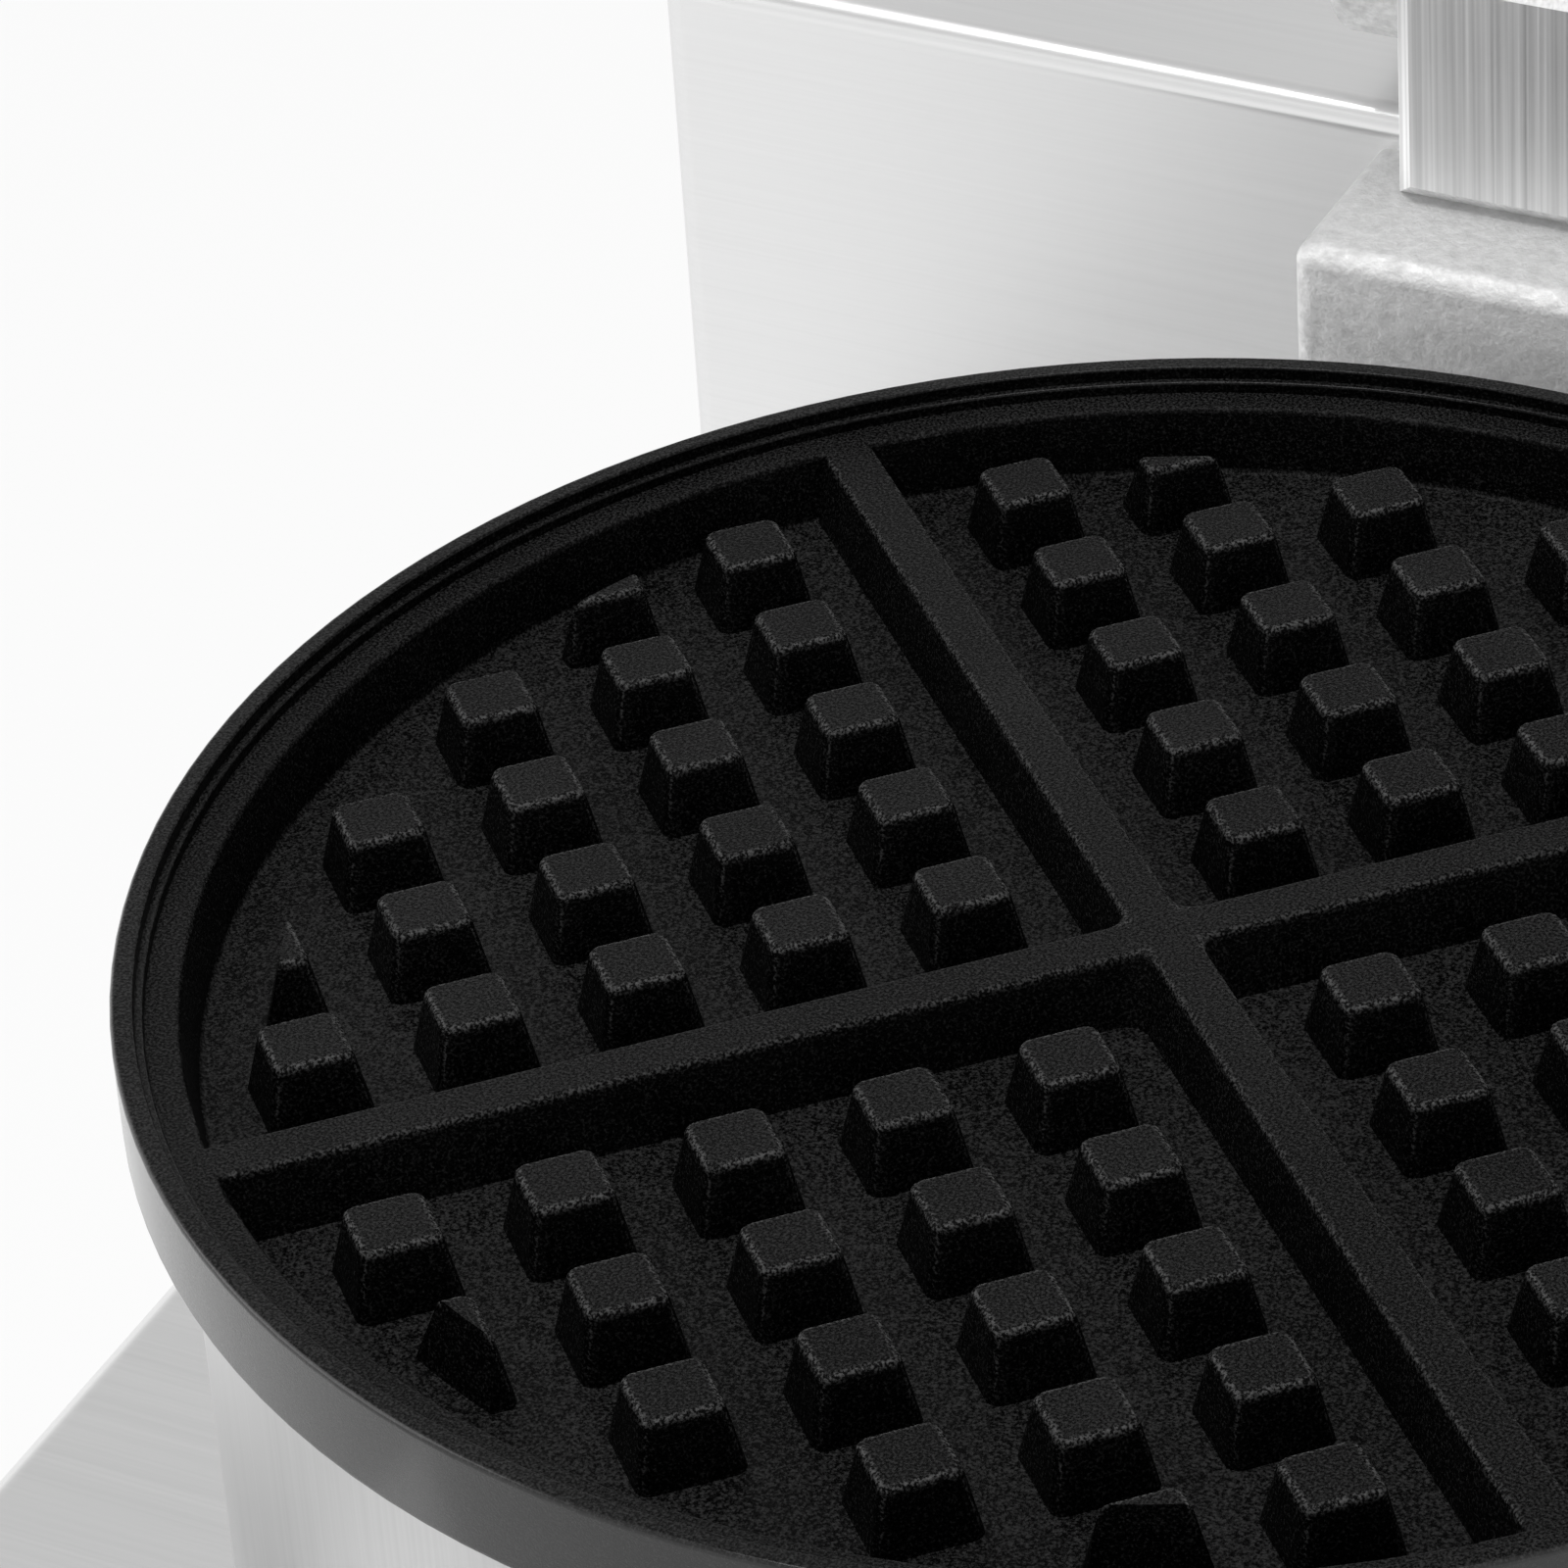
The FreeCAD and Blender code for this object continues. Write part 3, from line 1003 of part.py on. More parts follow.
for name, x in (("thermostat", "-knob_spread"), ("timer", "knob_spread")):
    copies(knob, f"{name}_knob", [at(x, "knob_back", "control_z", FACE_FRONT)])
    copies(spindle, f"{name}_spindle", [at(x, "knob_back", "control_z", FACE_FRONT)])
    bush_hole = rod(f"{name}_bush", "y", (x, "wall_inside", "control_z"), "spindle_bite",
        "spindle_radius + pin_gap")
    if name == "thermostat":
        case = box("thermostat_case", (f"{x} - control_half", f"{x} + control_half"),
                   ("wall_inside", "wall_inside + control_depth"),
                   ("control_z - control_half", "control_z + control_half"))
    else:
        case = rod("timer_case", "y", (x, "wall_inside", "control_z"), "control_depth", "control_half * 1.2")
    piece(carved(name, case, bush_hole), name)

# Rocker switch: a housing through the panel and the wall, and a rocker on two trunnions
SWITCH_PIVOT = "panel_front + rocker_depth"
switch_body = joined("switch_body", box(
    "switch_rim", ("-switch_half - switch_bezel", "switch_half + switch_bezel"),
    ("panel_front - switch_bezel", "panel_front"),
    ("control_z - switch_rise - switch_bezel", "control_z + switch_rise + switch_bezel")), box(
    "switch_case", ("-switch_half", "switch_half"), ("panel_front", "wall_inside + control_depth * 0.5"),
    ("control_z - switch_rise", "control_z + switch_rise")))
switch_well = box("switch_well", ("-switch_half + switch_wall", "switch_half - switch_wall"),
                  ("panel_front - switch_bezel", SWITCH_PIVOT + " + switch_rise * 0.6"),
                  ("control_z - switch_rise + switch_wall", "control_z + switch_rise - switch_wall"))
trunnion_holes = rod("trunnion_holes", "x", ("-switch_half", SWITCH_PIVOT, "control_z"), "switch_half * 2",
                     "trunnion_radius + pin_gap")
piece(carved("switch_housing", switch_body, switch_well, trunnion_holes), "switch_housing")
ROCKER_RISE = "(switch_rise - switch_wall) * 0.85"
ROCKER_FACE = "switch_bezel * 3.4"
rocker_body = pushed("rocker_body", "YZ_Plane", [
    ("rocker_back", f"-{ROCKER_RISE}"), (f"-{ROCKER_FACE}", f"-{ROCKER_RISE}"),
    (f"-{ROCKER_FACE} * 0.78", "0"),
    (f"-{ROCKER_FACE}", ROCKER_RISE), ("rocker_back", ROCKER_RISE)],
    "(switch_half - switch_wall - loose_gap) * 2")
trunnion = rod("trunnion", "x", ("-switch_half + loose_gap", "0", "0"), "(switch_half - loose_gap) * 2",
    "trunnion_radius")
piece(joined("rocker", rocker_body, trunnion), "switch_rocker",
      at("0", SWITCH_PIVOT, "control_z", Rotation(X_AXIS, value("rocker_tilt"))))

# Signal lamps: round lenses pressed through the panel and the wall
LAMP_TAIL = "panel_wall + sheet_wall + lamp_radius * 2"
lamp = turned("lamp", [
    ("0", f"-({LAMP_TAIL})"), ("lamp_body", f"-({LAMP_TAIL})"), ("lamp_body", "0"),
    ("lamp_radius", "0"),
    ("lamp_radius", "lamp_body", "lamp_radius * 0.6"), ("0", "lamp_body")])
copies(lamp, "power_lamp", [at("-lamp_spread", "panel_front", "control_z", FACE_FRONT)])
copies(lamp, "ready_lamp", [at("lamp_spread", "panel_front", "control_z", FACE_FRONT)])


def tube(name, points, bend, radius):
    """Round wire through points given as formulas, with straight runs and one arc at each bend."""
    places = [Vector(*(value(part) for part in point)) for point in points]
    edges = []
    start = places[0]
    for before, corner, after in zip(places, places[1:], places[2:]):
        back = (before - corner).normalize()
        ahead = (after - corner).normalize()
        reach = bend / math.tan(back.getAngle(ahead) / 2)
        middle = (back + ahead).normalize()
        centre = corner + middle * (bend / math.sin(back.getAngle(ahead) / 2))
        edges.append(Part.LineSegment(start, corner + back * reach).toShape())
        edges.append(Part.Arc(corner + back * reach, centre - middle * bend,
            corner + ahead * reach).toShape())
        start = corner + ahead * reach
    edges.append(Part.LineSegment(start, places[-1]).toShape())
    path = Part.Wire(edges)
    first = (places[1] - places[0]).normalize()
    section = Part.Wire(Part.makeCircle(radius, places[0], first))
    wire = doc.addObject("Part::Feature", name)
    wire.Shape = path.makePipeShell([section], True, False)
    return wire


# Wiring: leads from the lower heater to a terminal block, a sensing bulb under the clamp, and cord glands
LEAD_Z = "pan_top + terminal_height * 0.5"
lead_shapes = []
for side in ("", "-"):
    lead = tube(f"lead{side}1", [
        (f"{side}{LEG_X}", f"plate_y + {LEG_Y}", "peg_level + plate_back - heater_leg"),
        (f"{side}{LEG_X}", f"plate_y + {LEG_Y}", LEAD_Z),
        (f"{side}{LEG_X}", "terminal_front", LEAD_Z)], value("lead_radius * 6"), value("lead_radius"))
    lead_shapes.append(lead)
leads = doc.addObject("Part::Compound", "leads")
leads.Links = lead_shapes
piece(leads, "heater_leads")
terminal = box("terminal", ("-terminal_half", "terminal_half"),
    ("terminal_front", "terminal_front + terminal_depth"),
               ("pan_top", "pan_top + terminal_height"))
POLES = (-0.75, -0.25, 0.25, 0.75)
pole_cuts = [rod(f"pole_{n}", "z", (f"terminal_half * {share}", "terminal_front + terminal_depth / 2",
    "pan_top + pole_low"),
                 "pole_depth", "screw_head") for n, share in enumerate(POLES)]
piece(carved("terminal_block", terminal, *pole_cuts), "terminal_block")

BULB_Z = "peg_level + clamp_back - loose_gap - bulb_radius"
BULB_END = "-lead_radius * 6"
bulb = rod("bulb", "x", ("-stud_circle + nut_radius * 1.3", "plate_y", BULB_Z),
    f"stud_circle - nut_radius * 1.3 + {BULB_END}",
           "bulb_radius")
CAPILLARY_Y = "wall_inside + control_depth * 1.5"
capillary = tube("capillary", [
    (f"{BULB_END} - bulb_radius", "plate_y", BULB_Z), ("0", "plate_y", BULB_Z),
    ("0", "plate_y", "base_top - control_half"),
    ("-knob_spread", CAPILLARY_Y, "base_top - control_half"), ("-knob_spread", CAPILLARY_Y, "control_z"),
    ("-knob_spread", "wall_inside + control_depth", "control_z")], value("lead_radius * 3"),
    value("lead_radius * 0.6"))
piece(joined("sensor", bulb, capillary), "thermostat_capillary")

GLAND_TAIL = "sheet_wall + nut_height * 2"
gland = turned("gland", [
    ("gland_bore", f"-({GLAND_TAIL})"), ("gland_thread", f"-({GLAND_TAIL})"), ("gland_thread", "0"),
    ("gland_radius", "0"),
    ("gland_radius", "gland_collar", "edge_round"), ("gland_cap", "gland_collar"),
    ("gland_cap", "gland_nose", "edge_round * 4"), ("gland_bore", "gland_nose")])
copies(gland, "cable_gland", [at("-gland_offset", "column_back", "gland_z", FACE_REAR)])
ring_nut = hex_nut("ring_nut", "gland_thread + seat_gap", "gland_radius * 1.15", "nut_height")
copies(ring_nut, "gland_nut", [at("-gland_offset", "column_back - sheet_wall - nut_height", "gland_z",
    FACE_REAR)])
copies(gland, "column_gland", [at("lead_gland_offset", LEAD_GLAND_Y, "column_top")])
copies(gland, "lid_gland", [LID_PLACE * at(*LID_GLAND, "cover_height")])

# Every object has to be sound before any file is written
doc.recompute()
for thing in doc.Objects:
    if "Invalid" in thing.State or "Error" in thing.State:
        raise RuntimeError(f"{thing.Label} failed: {thing.State}")
for node in nodes:
    if node.Shape.isNull() or not node.Shape.isValid() or not node.Shape.Solids:
        raise RuntimeError(f"{node.Label} has no sound solid")
os.makedirs("parts", exist_ok=True)
for node in nodes:
    node.Shape.exportStep(f"parts/{node.Label}.step")
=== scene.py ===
import json
from math import cos, pi, radians, sin

import bmesh
import bpy
from mathutils import Euler, Matrix, Vector


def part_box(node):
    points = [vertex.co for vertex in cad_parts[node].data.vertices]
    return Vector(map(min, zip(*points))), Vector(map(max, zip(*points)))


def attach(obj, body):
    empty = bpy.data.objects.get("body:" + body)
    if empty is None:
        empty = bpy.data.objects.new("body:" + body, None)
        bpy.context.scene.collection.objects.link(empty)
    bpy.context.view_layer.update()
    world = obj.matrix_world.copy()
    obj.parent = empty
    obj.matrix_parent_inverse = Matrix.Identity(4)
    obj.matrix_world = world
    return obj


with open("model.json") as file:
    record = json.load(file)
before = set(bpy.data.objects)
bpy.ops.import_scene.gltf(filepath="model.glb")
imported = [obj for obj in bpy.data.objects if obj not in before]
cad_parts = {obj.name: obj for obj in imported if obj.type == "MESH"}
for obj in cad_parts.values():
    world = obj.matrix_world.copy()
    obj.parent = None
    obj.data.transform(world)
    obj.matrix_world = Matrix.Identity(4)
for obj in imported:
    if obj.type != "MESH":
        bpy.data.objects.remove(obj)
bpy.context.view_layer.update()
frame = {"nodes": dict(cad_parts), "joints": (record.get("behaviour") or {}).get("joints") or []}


# Base shell, pan, column and rear cover: folded from brushed stainless sheet and screwed together.
# The grain runs across the machine, as the sheet left the brushing belt, and is softer on the column.

def feed(tree, socket, value):
    """Links a socket to another node's output, or sets it to a plain value."""
    if isinstance(value, bpy.types.NodeSocket):
        tree.links.new(value, socket)
    else:
        socket.default_value = value


def add(tree, kind, feeds=None, **settings):
    """Adds one shader node with its settings, and feeds the sockets that are named."""
    made = tree.nodes.new("ShaderNode" + kind)
    for name, setting in settings.items():
        setattr(made, name, setting)
    for name, value in (feeds or {}).items():
        feed(tree, made.inputs[name], value)
    return made


def shader_group(name, inputs, outputs):
    """A new node group with named sockets, its inputs to read from and its outputs to feed."""
    group = bpy.data.node_groups.new(name, "ShaderNodeTree")
    for label, kind in inputs.items():
        group.interface.new_socket(label, in_out="INPUT", socket_type="NodeSocket" + kind)
    for label, kind in outputs.items():
        group.interface.new_socket(label, in_out="OUTPUT", socket_type="NodeSocket" + kind)
    start = group.nodes.new("NodeGroupInput")
    end = group.nodes.new("NodeGroupOutput")
    return group, start.outputs, end.inputs


def placed(tree, group, feeds):
    """Puts a node group into a material and gives back its outputs."""
    made = tree.nodes.new("ShaderNodeGroup")
    made.node_tree = group
    for name, value in feeds.items():
        feed(tree, made.inputs[name], value)
    return made.outputs


def reckon(tree, operation, first, second=0.0):
    """The result of one sum on two numbers."""
    return add(tree, "Math", {0: first, 1: second}, operation=operation).outputs[0]


def weighed(tree, first, second, share):
    """A share of the first number and the rest of the second."""
    return reckon(tree, "ADD", reckon(tree, "MULTIPLY", first, share),
                  reckon(tree, "MULTIPLY", second, 1.0 - share))


def spread(tree, value, low, high, start=0.0, end=1.0):
    """Stretches the part of a value from low to high over start to end."""
    return add(tree, "MapRange", {"Value": value, "From Min": low, "From Max": high,
                                  "To Min": start, "To Max": end}).outputs[0]


def noise(tree, where, scale, detail, **more):
    """Soft noise, so many times finer than a metre."""
    return add(tree, "TexNoise", {"Vector": where, "Scale": scale, "Detail": detail, **more}).outputs[0]


NOISE_LOW, NOISE_HIGH = 0.3, 0.7


def evened(tree, value, start=0.0, end=1.0):
    """Stretches the band that noise mostly keeps to over start to end."""
    return spread(tree, value, NOISE_LOW, NOISE_HIGH, start, end)


def ramp(tree, value, stops):
    """A colour that follows a value through the stops."""
    made = add(tree, "ValToRGB", {"Fac": value})
    elements = made.color_ramp.elements
    while len(elements) < len(stops):
        elements.new(0.5)
    for element, (place, colour) in zip(elements, stops):
        element.position = place
        element.color = (*colour, 1.0)
    return made.outputs["Color"]


def grey(level, warmth=0.0):
    """A neutral colour, a little warm or cool."""
    return (level * (1 + warmth), level, level * (1 - warmth))


def finish(name, **plain):
    """A new material whose even values are set on its Principled shader."""
    material = bpy.data.materials.new(name)
    material.use_nodes = True
    tree = material.node_tree
    shader = tree.nodes["Principled BSDF"]
    for label, value in plain.items():
        shader.inputs[label.replace("_", " ")].default_value = value
    return material, tree, shader.inputs


def relief(tree, shader, height, strength, distance):
    """Raises a surface by a height, through a bump on the shader's normal."""
    bump = add(tree, "Bump", {"Strength": strength, "Distance": distance, "Height": height})
    feed(tree, shader["Normal"], bump.outputs["Normal"])


def dress(material, *names):
    """Gives CAD pieces their finish."""
    for name in names:
        frame["nodes"][name].material_slots[0].material = material


# grain of a brushing belt: long hairlines along the first axis, or along the second on end faces
GRAIN_LONG, GRAIN_ACROSS = 14.0, 2400.0
HAIR_SCALE, STREAK_SCALE = 1.0, 0.35
END_FACE_FROM, END_FACE_FULL = 0.6, 0.8
brushed_grain, come, go = shader_group("brushed_grain", {"Vector": "Vector", "Normal": "Vector"},
                                       {"Streak": "Float", "Height": "Float"})
grain_facing = add(brushed_grain, "SeparateXYZ", {"Vector": come["Normal"]}).outputs["X"]
end_on = reckon(brushed_grain, "ABSOLUTE", grain_facing)
grain_turned = spread(brushed_grain, end_on, END_FACE_FROM, END_FACE_FULL)
grain_lines = []
for stretch in ((GRAIN_LONG, GRAIN_ACROSS, GRAIN_ACROSS), (GRAIN_ACROSS, GRAIN_LONG, GRAIN_ACROSS)):
    run = add(brushed_grain, "Mapping", {"Vector": come["Vector"], "Scale": stretch}).outputs["Vector"]
    streaks = noise(brushed_grain, run, STREAK_SCALE, 3.0)
    hairs = noise(brushed_grain, run, HAIR_SCALE, 2.0)
    grain_lines.append(weighed(brushed_grain, streaks, hairs, 0.5))
grain_mix = add(brushed_grain, "Mix", {0: grain_turned, 2: grain_lines[0], 3: grain_lines[1]}).outputs[0]
feed(brushed_grain, go["Streak"], evened(brushed_grain, grain_mix))
feed(brushed_grain, go["Height"], grain_mix)

# faint haze left by wiping cloths and hands
wiped_haze, come, go = shader_group("wiped_haze", {"Vector": "Vector", "Scale": "Float"}, {"Haze": "Float"})
haze_cloud = noise(wiped_haze, come["Vector"], come["Scale"], 4.0, Distortion=0.6)
feed(wiped_haze, go["Haze"], evened(wiped_haze, haze_cloud))

ACROSS, UPRIGHT = (0.0, 0.0, 0.0), (0.0, radians(90), 0.0)
SHEET_HAZE, STREAK_SHARE = 11.0, 0.6


def stainless(name, turn, dark, light, smooth, rough, drawn_round="X"):
    """Brushed metal: grain along the first axis of the turned piece, reflections drawn out round an axis."""
    material, tree, shader = finish(name, Metallic=1.0, Anisotropic=0.75)
    feed(tree, shader["Tangent"], add(tree, "Tangent", direction_type="RADIAL", axis=drawn_round).outputs[0])
    where = add(tree, "TexCoord").outputs
    along = add(tree, "Mapping", {"Vector": where["Object"], "Rotation": turn}).outputs["Vector"]
    facing = add(tree, "Mapping", {"Vector": where["Normal"], "Rotation": turn},
                 vector_type="VECTOR").outputs["Vector"]
    grain = placed(tree, brushed_grain, {"Vector": along, "Normal": facing})
    haze = placed(tree, wiped_haze, {"Vector": where["Object"], "Scale": SHEET_HAZE})["Haze"]
    feed(tree, shader["Base Color"], ramp(tree, grain["Streak"], [(0.0, grey(dark)), (1.0, grey(light))]))
    markings = weighed(tree, grain["Streak"], haze, STREAK_SHARE)
    feed(tree, shader["Roughness"], spread(tree, markings, 0.0, 1.0, smooth, rough))
    relief(tree, shader, grain["Height"], strength=0.03, distance=0.0002)
    return material


sheet_steel = stainless("brushed_sheet", ACROSS, dark=0.81, light=0.86, smooth=0.2, rough=0.27)
dress(sheet_steel, "base_shell", "base_pan", "control_panel")
column_steel = stainless("column_sheet", ACROSS, dark=0.85, light=0.9, smooth=0.26, rough=0.34,
                         drawn_round="Z")
dress(column_steel, "column_shell", "rear_cover")


# Feet and stop bumpers: black rubber mouldings, the feet held by a screw through each.
# Their skin is dull and finely pitted, and has faded unevenly.

moulded_grain, come, go = shader_group("moulded_grain", {"Vector": "Vector", "Scale": "Float"},
                                       {"Mottle": "Float", "Height": "Float"})
MOTTLE_TO_GRAIN, MOTTLE_SHARE = 0.03, 0.6
grain_fine = noise(moulded_grain, come["Vector"], come["Scale"], 5.0, Roughness=0.6)
mottle_scale = reckon(moulded_grain, "MULTIPLY", come["Scale"], MOTTLE_TO_GRAIN)
grain_broad = noise(moulded_grain, come["Vector"], mottle_scale, 3.0)
feed(moulded_grain, go["Mottle"], evened(moulded_grain, grain_broad))
feed(moulded_grain, go["Height"], grain_fine)


def moulding(name, level, smooth, rough, scale, depth):
    """A moulded plastic, rubber or ink of one grey, with a fine grain of that scale and depth."""
    material, tree, shader = finish(name)
    where = add(tree, "TexCoord").outputs["Object"]
    grain = placed(tree, moulded_grain, {"Vector": where, "Scale": scale})
    tint = weighed(tree, grain["Mottle"], grain["Height"], MOTTLE_SHARE)
    tones = [(0.2, grey(level * 0.75)), (0.9, grey(level * 1.5))]
    feed(tree, shader["Base Color"], ramp(tree, tint, tones))
    feed(tree, shader["Roughness"], spread(tree, grain["Mottle"], 0.0, 1.0, smooth, rough))
    relief(tree, shader, grain["Height"], strength=0.35, distance=depth)
    return material


rubber = moulding("black_rubber", level=0.022, smooth=0.62, rough=0.8, scale=2200.0, depth=0.00015)
dress(rubber, "rubber_feet", "stop_bumpers")


# Screws, nuts, studs and pins: plain stainless fasteners, turned and rolled.
# Their skin is finely marked by the tools and hazed by handling.

TOOL_MARKS, HANDLING = 1600.0, 60.0
fastener, tree, shader = finish("fastener_steel", Metallic=1.0)
where = add(tree, "TexCoord").outputs["Object"]
marks = noise(tree, where, TOOL_MARKS, 4.0)
haze = placed(tree, wiped_haze, {"Vector": where, "Scale": HANDLING})["Haze"]
feed(tree, shader["Base Color"], ramp(tree, haze, [(0.0, grey(0.42, 0.01)), (1.0, grey(0.62, 0.01))]))
feed(tree, shader["Roughness"], evened(tree, marks, 0.22, 0.42))
relief(tree, shader, marks, strength=0.2, distance=0.0001)
dress(fastener, "foot_screws", "foot_nuts", "panel_screws", "plate_studs", "plate_nuts", "column_screws",
      "column_nuts", "rear_cover_screws", "backing_plate", "hinge_bolts", "post_screws", "hinge_pin",
      "hinge_clips", "lid_studs", "lid_nuts", "handle_screws", "handle_rod", "thermostat_spindle",
      "timer_spindle")


# Lower skirt: a stainless band rolled and welded into a ring, carrying the grid plate above the base.
# Its grain runs up and down, because the band was brushed across before it was rolled.

# painted shade: the skirt's steel is given a darker colour than the body's brushed sheet
skirt_steel = stainless("rolled_skirt", UPRIGHT, dark=0.48, light=0.56, smooth=0.3, rough=0.42)
dress(skirt_steel, "lower_skirt")


# Heaters, clamps, insulation and wiring: what lies sealed inside the skirt, the base and the lid.
# Sheathed heating tube under pressed steel clamps, mineral wool, sleeved leads and a ceramic block.

HEAT_SCALE, FIBRE_SCALE, WEAVE_SCALE = 90.0, 700.0, 1800.0
heater_steel, tree, shader = finish("heater_steel", Metallic=1.0)
where = add(tree, "TexCoord").outputs["Object"]
burnt = placed(tree, wiped_haze, {"Vector": where, "Scale": HEAT_SCALE})["Haze"]
feed(tree, shader["Base Color"], ramp(tree, burnt, [(0.0, (0.16, 0.15, 0.15)), (1.0, (0.36, 0.33, 0.31))]))
feed(tree, shader["Roughness"], spread(tree, burnt, 0.0, 1.0, 0.45, 0.65))
dress(heater_steel, "lower_heater", "upper_heater", "lower_clamp", "upper_clamp")

wool, tree, shader = finish("mineral_wool", Roughness=0.95)
where = add(tree, "TexCoord").outputs["Object"]
fibre = noise(tree, where, FIBRE_SCALE, 6.0, Distortion=2.5)
wool_tones = [(NOISE_LOW, (0.42, 0.38, 0.28)), (NOISE_HIGH, (0.74, 0.7, 0.58))]
feed(tree, shader["Base Color"], ramp(tree, fibre, wool_tones))
relief(tree, shader, fibre, strength=0.8, distance=0.001)
dress(wool, "lower_insulation", "upper_insulation")

sleeve, tree, shader = finish("glass_sleeve", Roughness=0.8)
where = add(tree, "TexCoord").outputs["Object"]
weave = add(tree, "TexVoronoi", {"Vector": where, "Scale": WEAVE_SCALE}).outputs["Distance"]
feed(tree, shader["Base Color"], ramp(tree, weave, [(0.1, (0.72, 0.69, 0.6)), (0.7, (0.48, 0.45, 0.38))]))
relief(tree, shader, weave, strength=0.5, distance=0.0003)
dress(sleeve, "heater_leads")

ceramic = moulding("ceramic_block", level=0.6, smooth=0.3, rough=0.5, scale=1200.0, depth=0.0001)
dress(ceramic, "terminal_block")


# Grid plates: aluminium castings under a black non-stick coat, sprayed on and baked.
# The coat is satin and grainy where the spray fell, with its grain turned down on steep sides as painted
# shade.
# It is painted bright along the edges of the pegs and dividers, partly for wear and partly as painted
# highlight, and the outer wall and ring are wiped to a sheen.

def middle_of(node):
    """The middle of a CAD node's box."""
    low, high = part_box(node)
    return (low + high) / 2


def between(tree, share, first, second):
    """A colour that lies between two by a share."""
    return add(tree, "Mix", {0: share, 6: first, 7: second}, data_type="RGBA").outputs[2]


PEG_PITCH, PEG_FIRST = 0.016, 0.0147
PEG_TOP, PEG_FOOT, PEG_TALL = 0.00375, 0.0052, 0.0069
GRID_SHIFT = PEG_PITCH * 4 - PEG_FIRST
PEG_ZONE = PEG_FIRST - PEG_FOOT * 1.2
DIVIDER_HALF, DIVIDER_WEAR_HIGHLIGHT = 0.0024, 0.6
PEGS_REACH, RING_INSIDE, OUTER_WALL = 0.0905, 0.0947, 0.0977
EDGE_REACH = 0.0009
EDGE_HALF = EDGE_REACH * 0.5
RING_SHEEN = 0.12

# place on the grid of pegs: how near a point lies to the edges of a peg or divider, and to the outer wall
peg_wear_and_highlight, come, go = shader_group("peg_wear_and_highlight", {"Vector": "Vector"}, {"WearAndHighlight": "Float", "Wall": "Float"})
spots = add(peg_wear_and_highlight, "SeparateXYZ", {"Vector": come["Vector"]}).outputs
across = [reckon(peg_wear_and_highlight, "ABSOLUTE", spots[axis]) for axis in ("X", "Y")]
radius = add(peg_wear_and_highlight, "VectorMath", {0: come["Vector"]}, operation="LENGTH").outputs["Value"]
depth = reckon(peg_wear_and_highlight, "MAXIMUM", reckon(peg_wear_and_highlight, "MULTIPLY", spots["Z"], -1.0), 0.0)
half = spread(peg_wear_and_highlight, depth, 0.0, PEG_TALL, PEG_TOP, PEG_FOOT)
shifted = [reckon(peg_wear_and_highlight, "ADD", way, GRID_SHIFT) for way in across]
steps = [reckon(peg_wear_and_highlight, "PINGPONG", way, PEG_PITCH / 2) for way in shifted]
wide = reckon(peg_wear_and_highlight, "SUBTRACT", reckon(peg_wear_and_highlight, "MAXIMUM", *steps), half)
corner = reckon(peg_wear_and_highlight, "SUBTRACT", reckon(peg_wear_and_highlight, "MINIMUM", *steps), half)
bar = reckon(peg_wear_and_highlight, "MINIMUM", *across)
topmost = spread(peg_wear_and_highlight, depth, EDGE_REACH, EDGE_REACH * 0.4)
in_pan = reckon(peg_wear_and_highlight, "LESS_THAN", radius, PEGS_REACH)

# the bright edge lines are partly wear and partly a painted highlight on the rounded edges of pegs and
# dividers
peg_edge = reckon(peg_wear_and_highlight, "ABSOLUTE", reckon(peg_wear_and_highlight, "ADD", wide, EDGE_REACH * 0.3))
peg_line = reckon(peg_wear_and_highlight, "MULTIPLY", topmost, spread(peg_wear_and_highlight, peg_edge, EDGE_HALF, 0.0))
corner_line = reckon(peg_wear_and_highlight, "MULTIPLY", spread(peg_wear_and_highlight, depth, PEG_TALL, PEG_TALL * 0.6),
                     spread(peg_wear_and_highlight, corner, -EDGE_REACH * 0.7, -EDGE_REACH * 0.2))
on_peg = reckon(peg_wear_and_highlight, "MULTIPLY", reckon(peg_wear_and_highlight, "GREATER_THAN", bar, PEG_ZONE), in_pan)
on_peg = reckon(peg_wear_and_highlight, "MULTIPLY", on_peg, reckon(peg_wear_and_highlight, "LESS_THAN", wide, EDGE_REACH))
peg_wear_highlight = reckon(peg_wear_and_highlight, "MULTIPLY", on_peg, reckon(peg_wear_and_highlight, "MAXIMUM", peg_line, corner_line))

bar_edge = reckon(peg_wear_and_highlight, "ABSOLUTE", reckon(peg_wear_and_highlight, "SUBTRACT", bar, DIVIDER_HALF))
bar_line = reckon(peg_wear_and_highlight, "MULTIPLY", reckon(peg_wear_and_highlight, "MULTIPLY", topmost, in_pan),
                  spread(peg_wear_and_highlight, bar_edge, EDGE_HALF, 0.0))
bar_wear_highlight = reckon(peg_wear_and_highlight, "MULTIPLY", bar_line, DIVIDER_WEAR_HIGHLIGHT)
feed(peg_wear_and_highlight, go["WearAndHighlight"], reckon(peg_wear_and_highlight, "MAXIMUM", bar_wear_highlight, peg_wear_highlight))

wiped = reckon(peg_wear_and_highlight, "MULTIPLY", reckon(peg_wear_and_highlight, "GREATER_THAN", radius, RING_INSIDE), RING_SHEEN)
wall = spread(peg_wear_and_highlight, radius, OUTER_WALL - EDGE_HALF, OUTER_WALL - EDGE_REACH * 0.2)
feed(peg_wear_and_highlight, go["Wall"], reckon(peg_wear_and_highlight, "MAXIMUM", wall, wiped))

COAT_BLACK, COAT_GRAIN, COAT_WORN_HIGHLIGHT = 0.001, 0.034, 0.11
SPRAY_SCALE, PATCH_SCALE, PATCH_SHARE = 3400.0, 42.0, 0.05
STEEP, LEVEL, STEEP_SHADE = 0.25, 0.8, 0.84


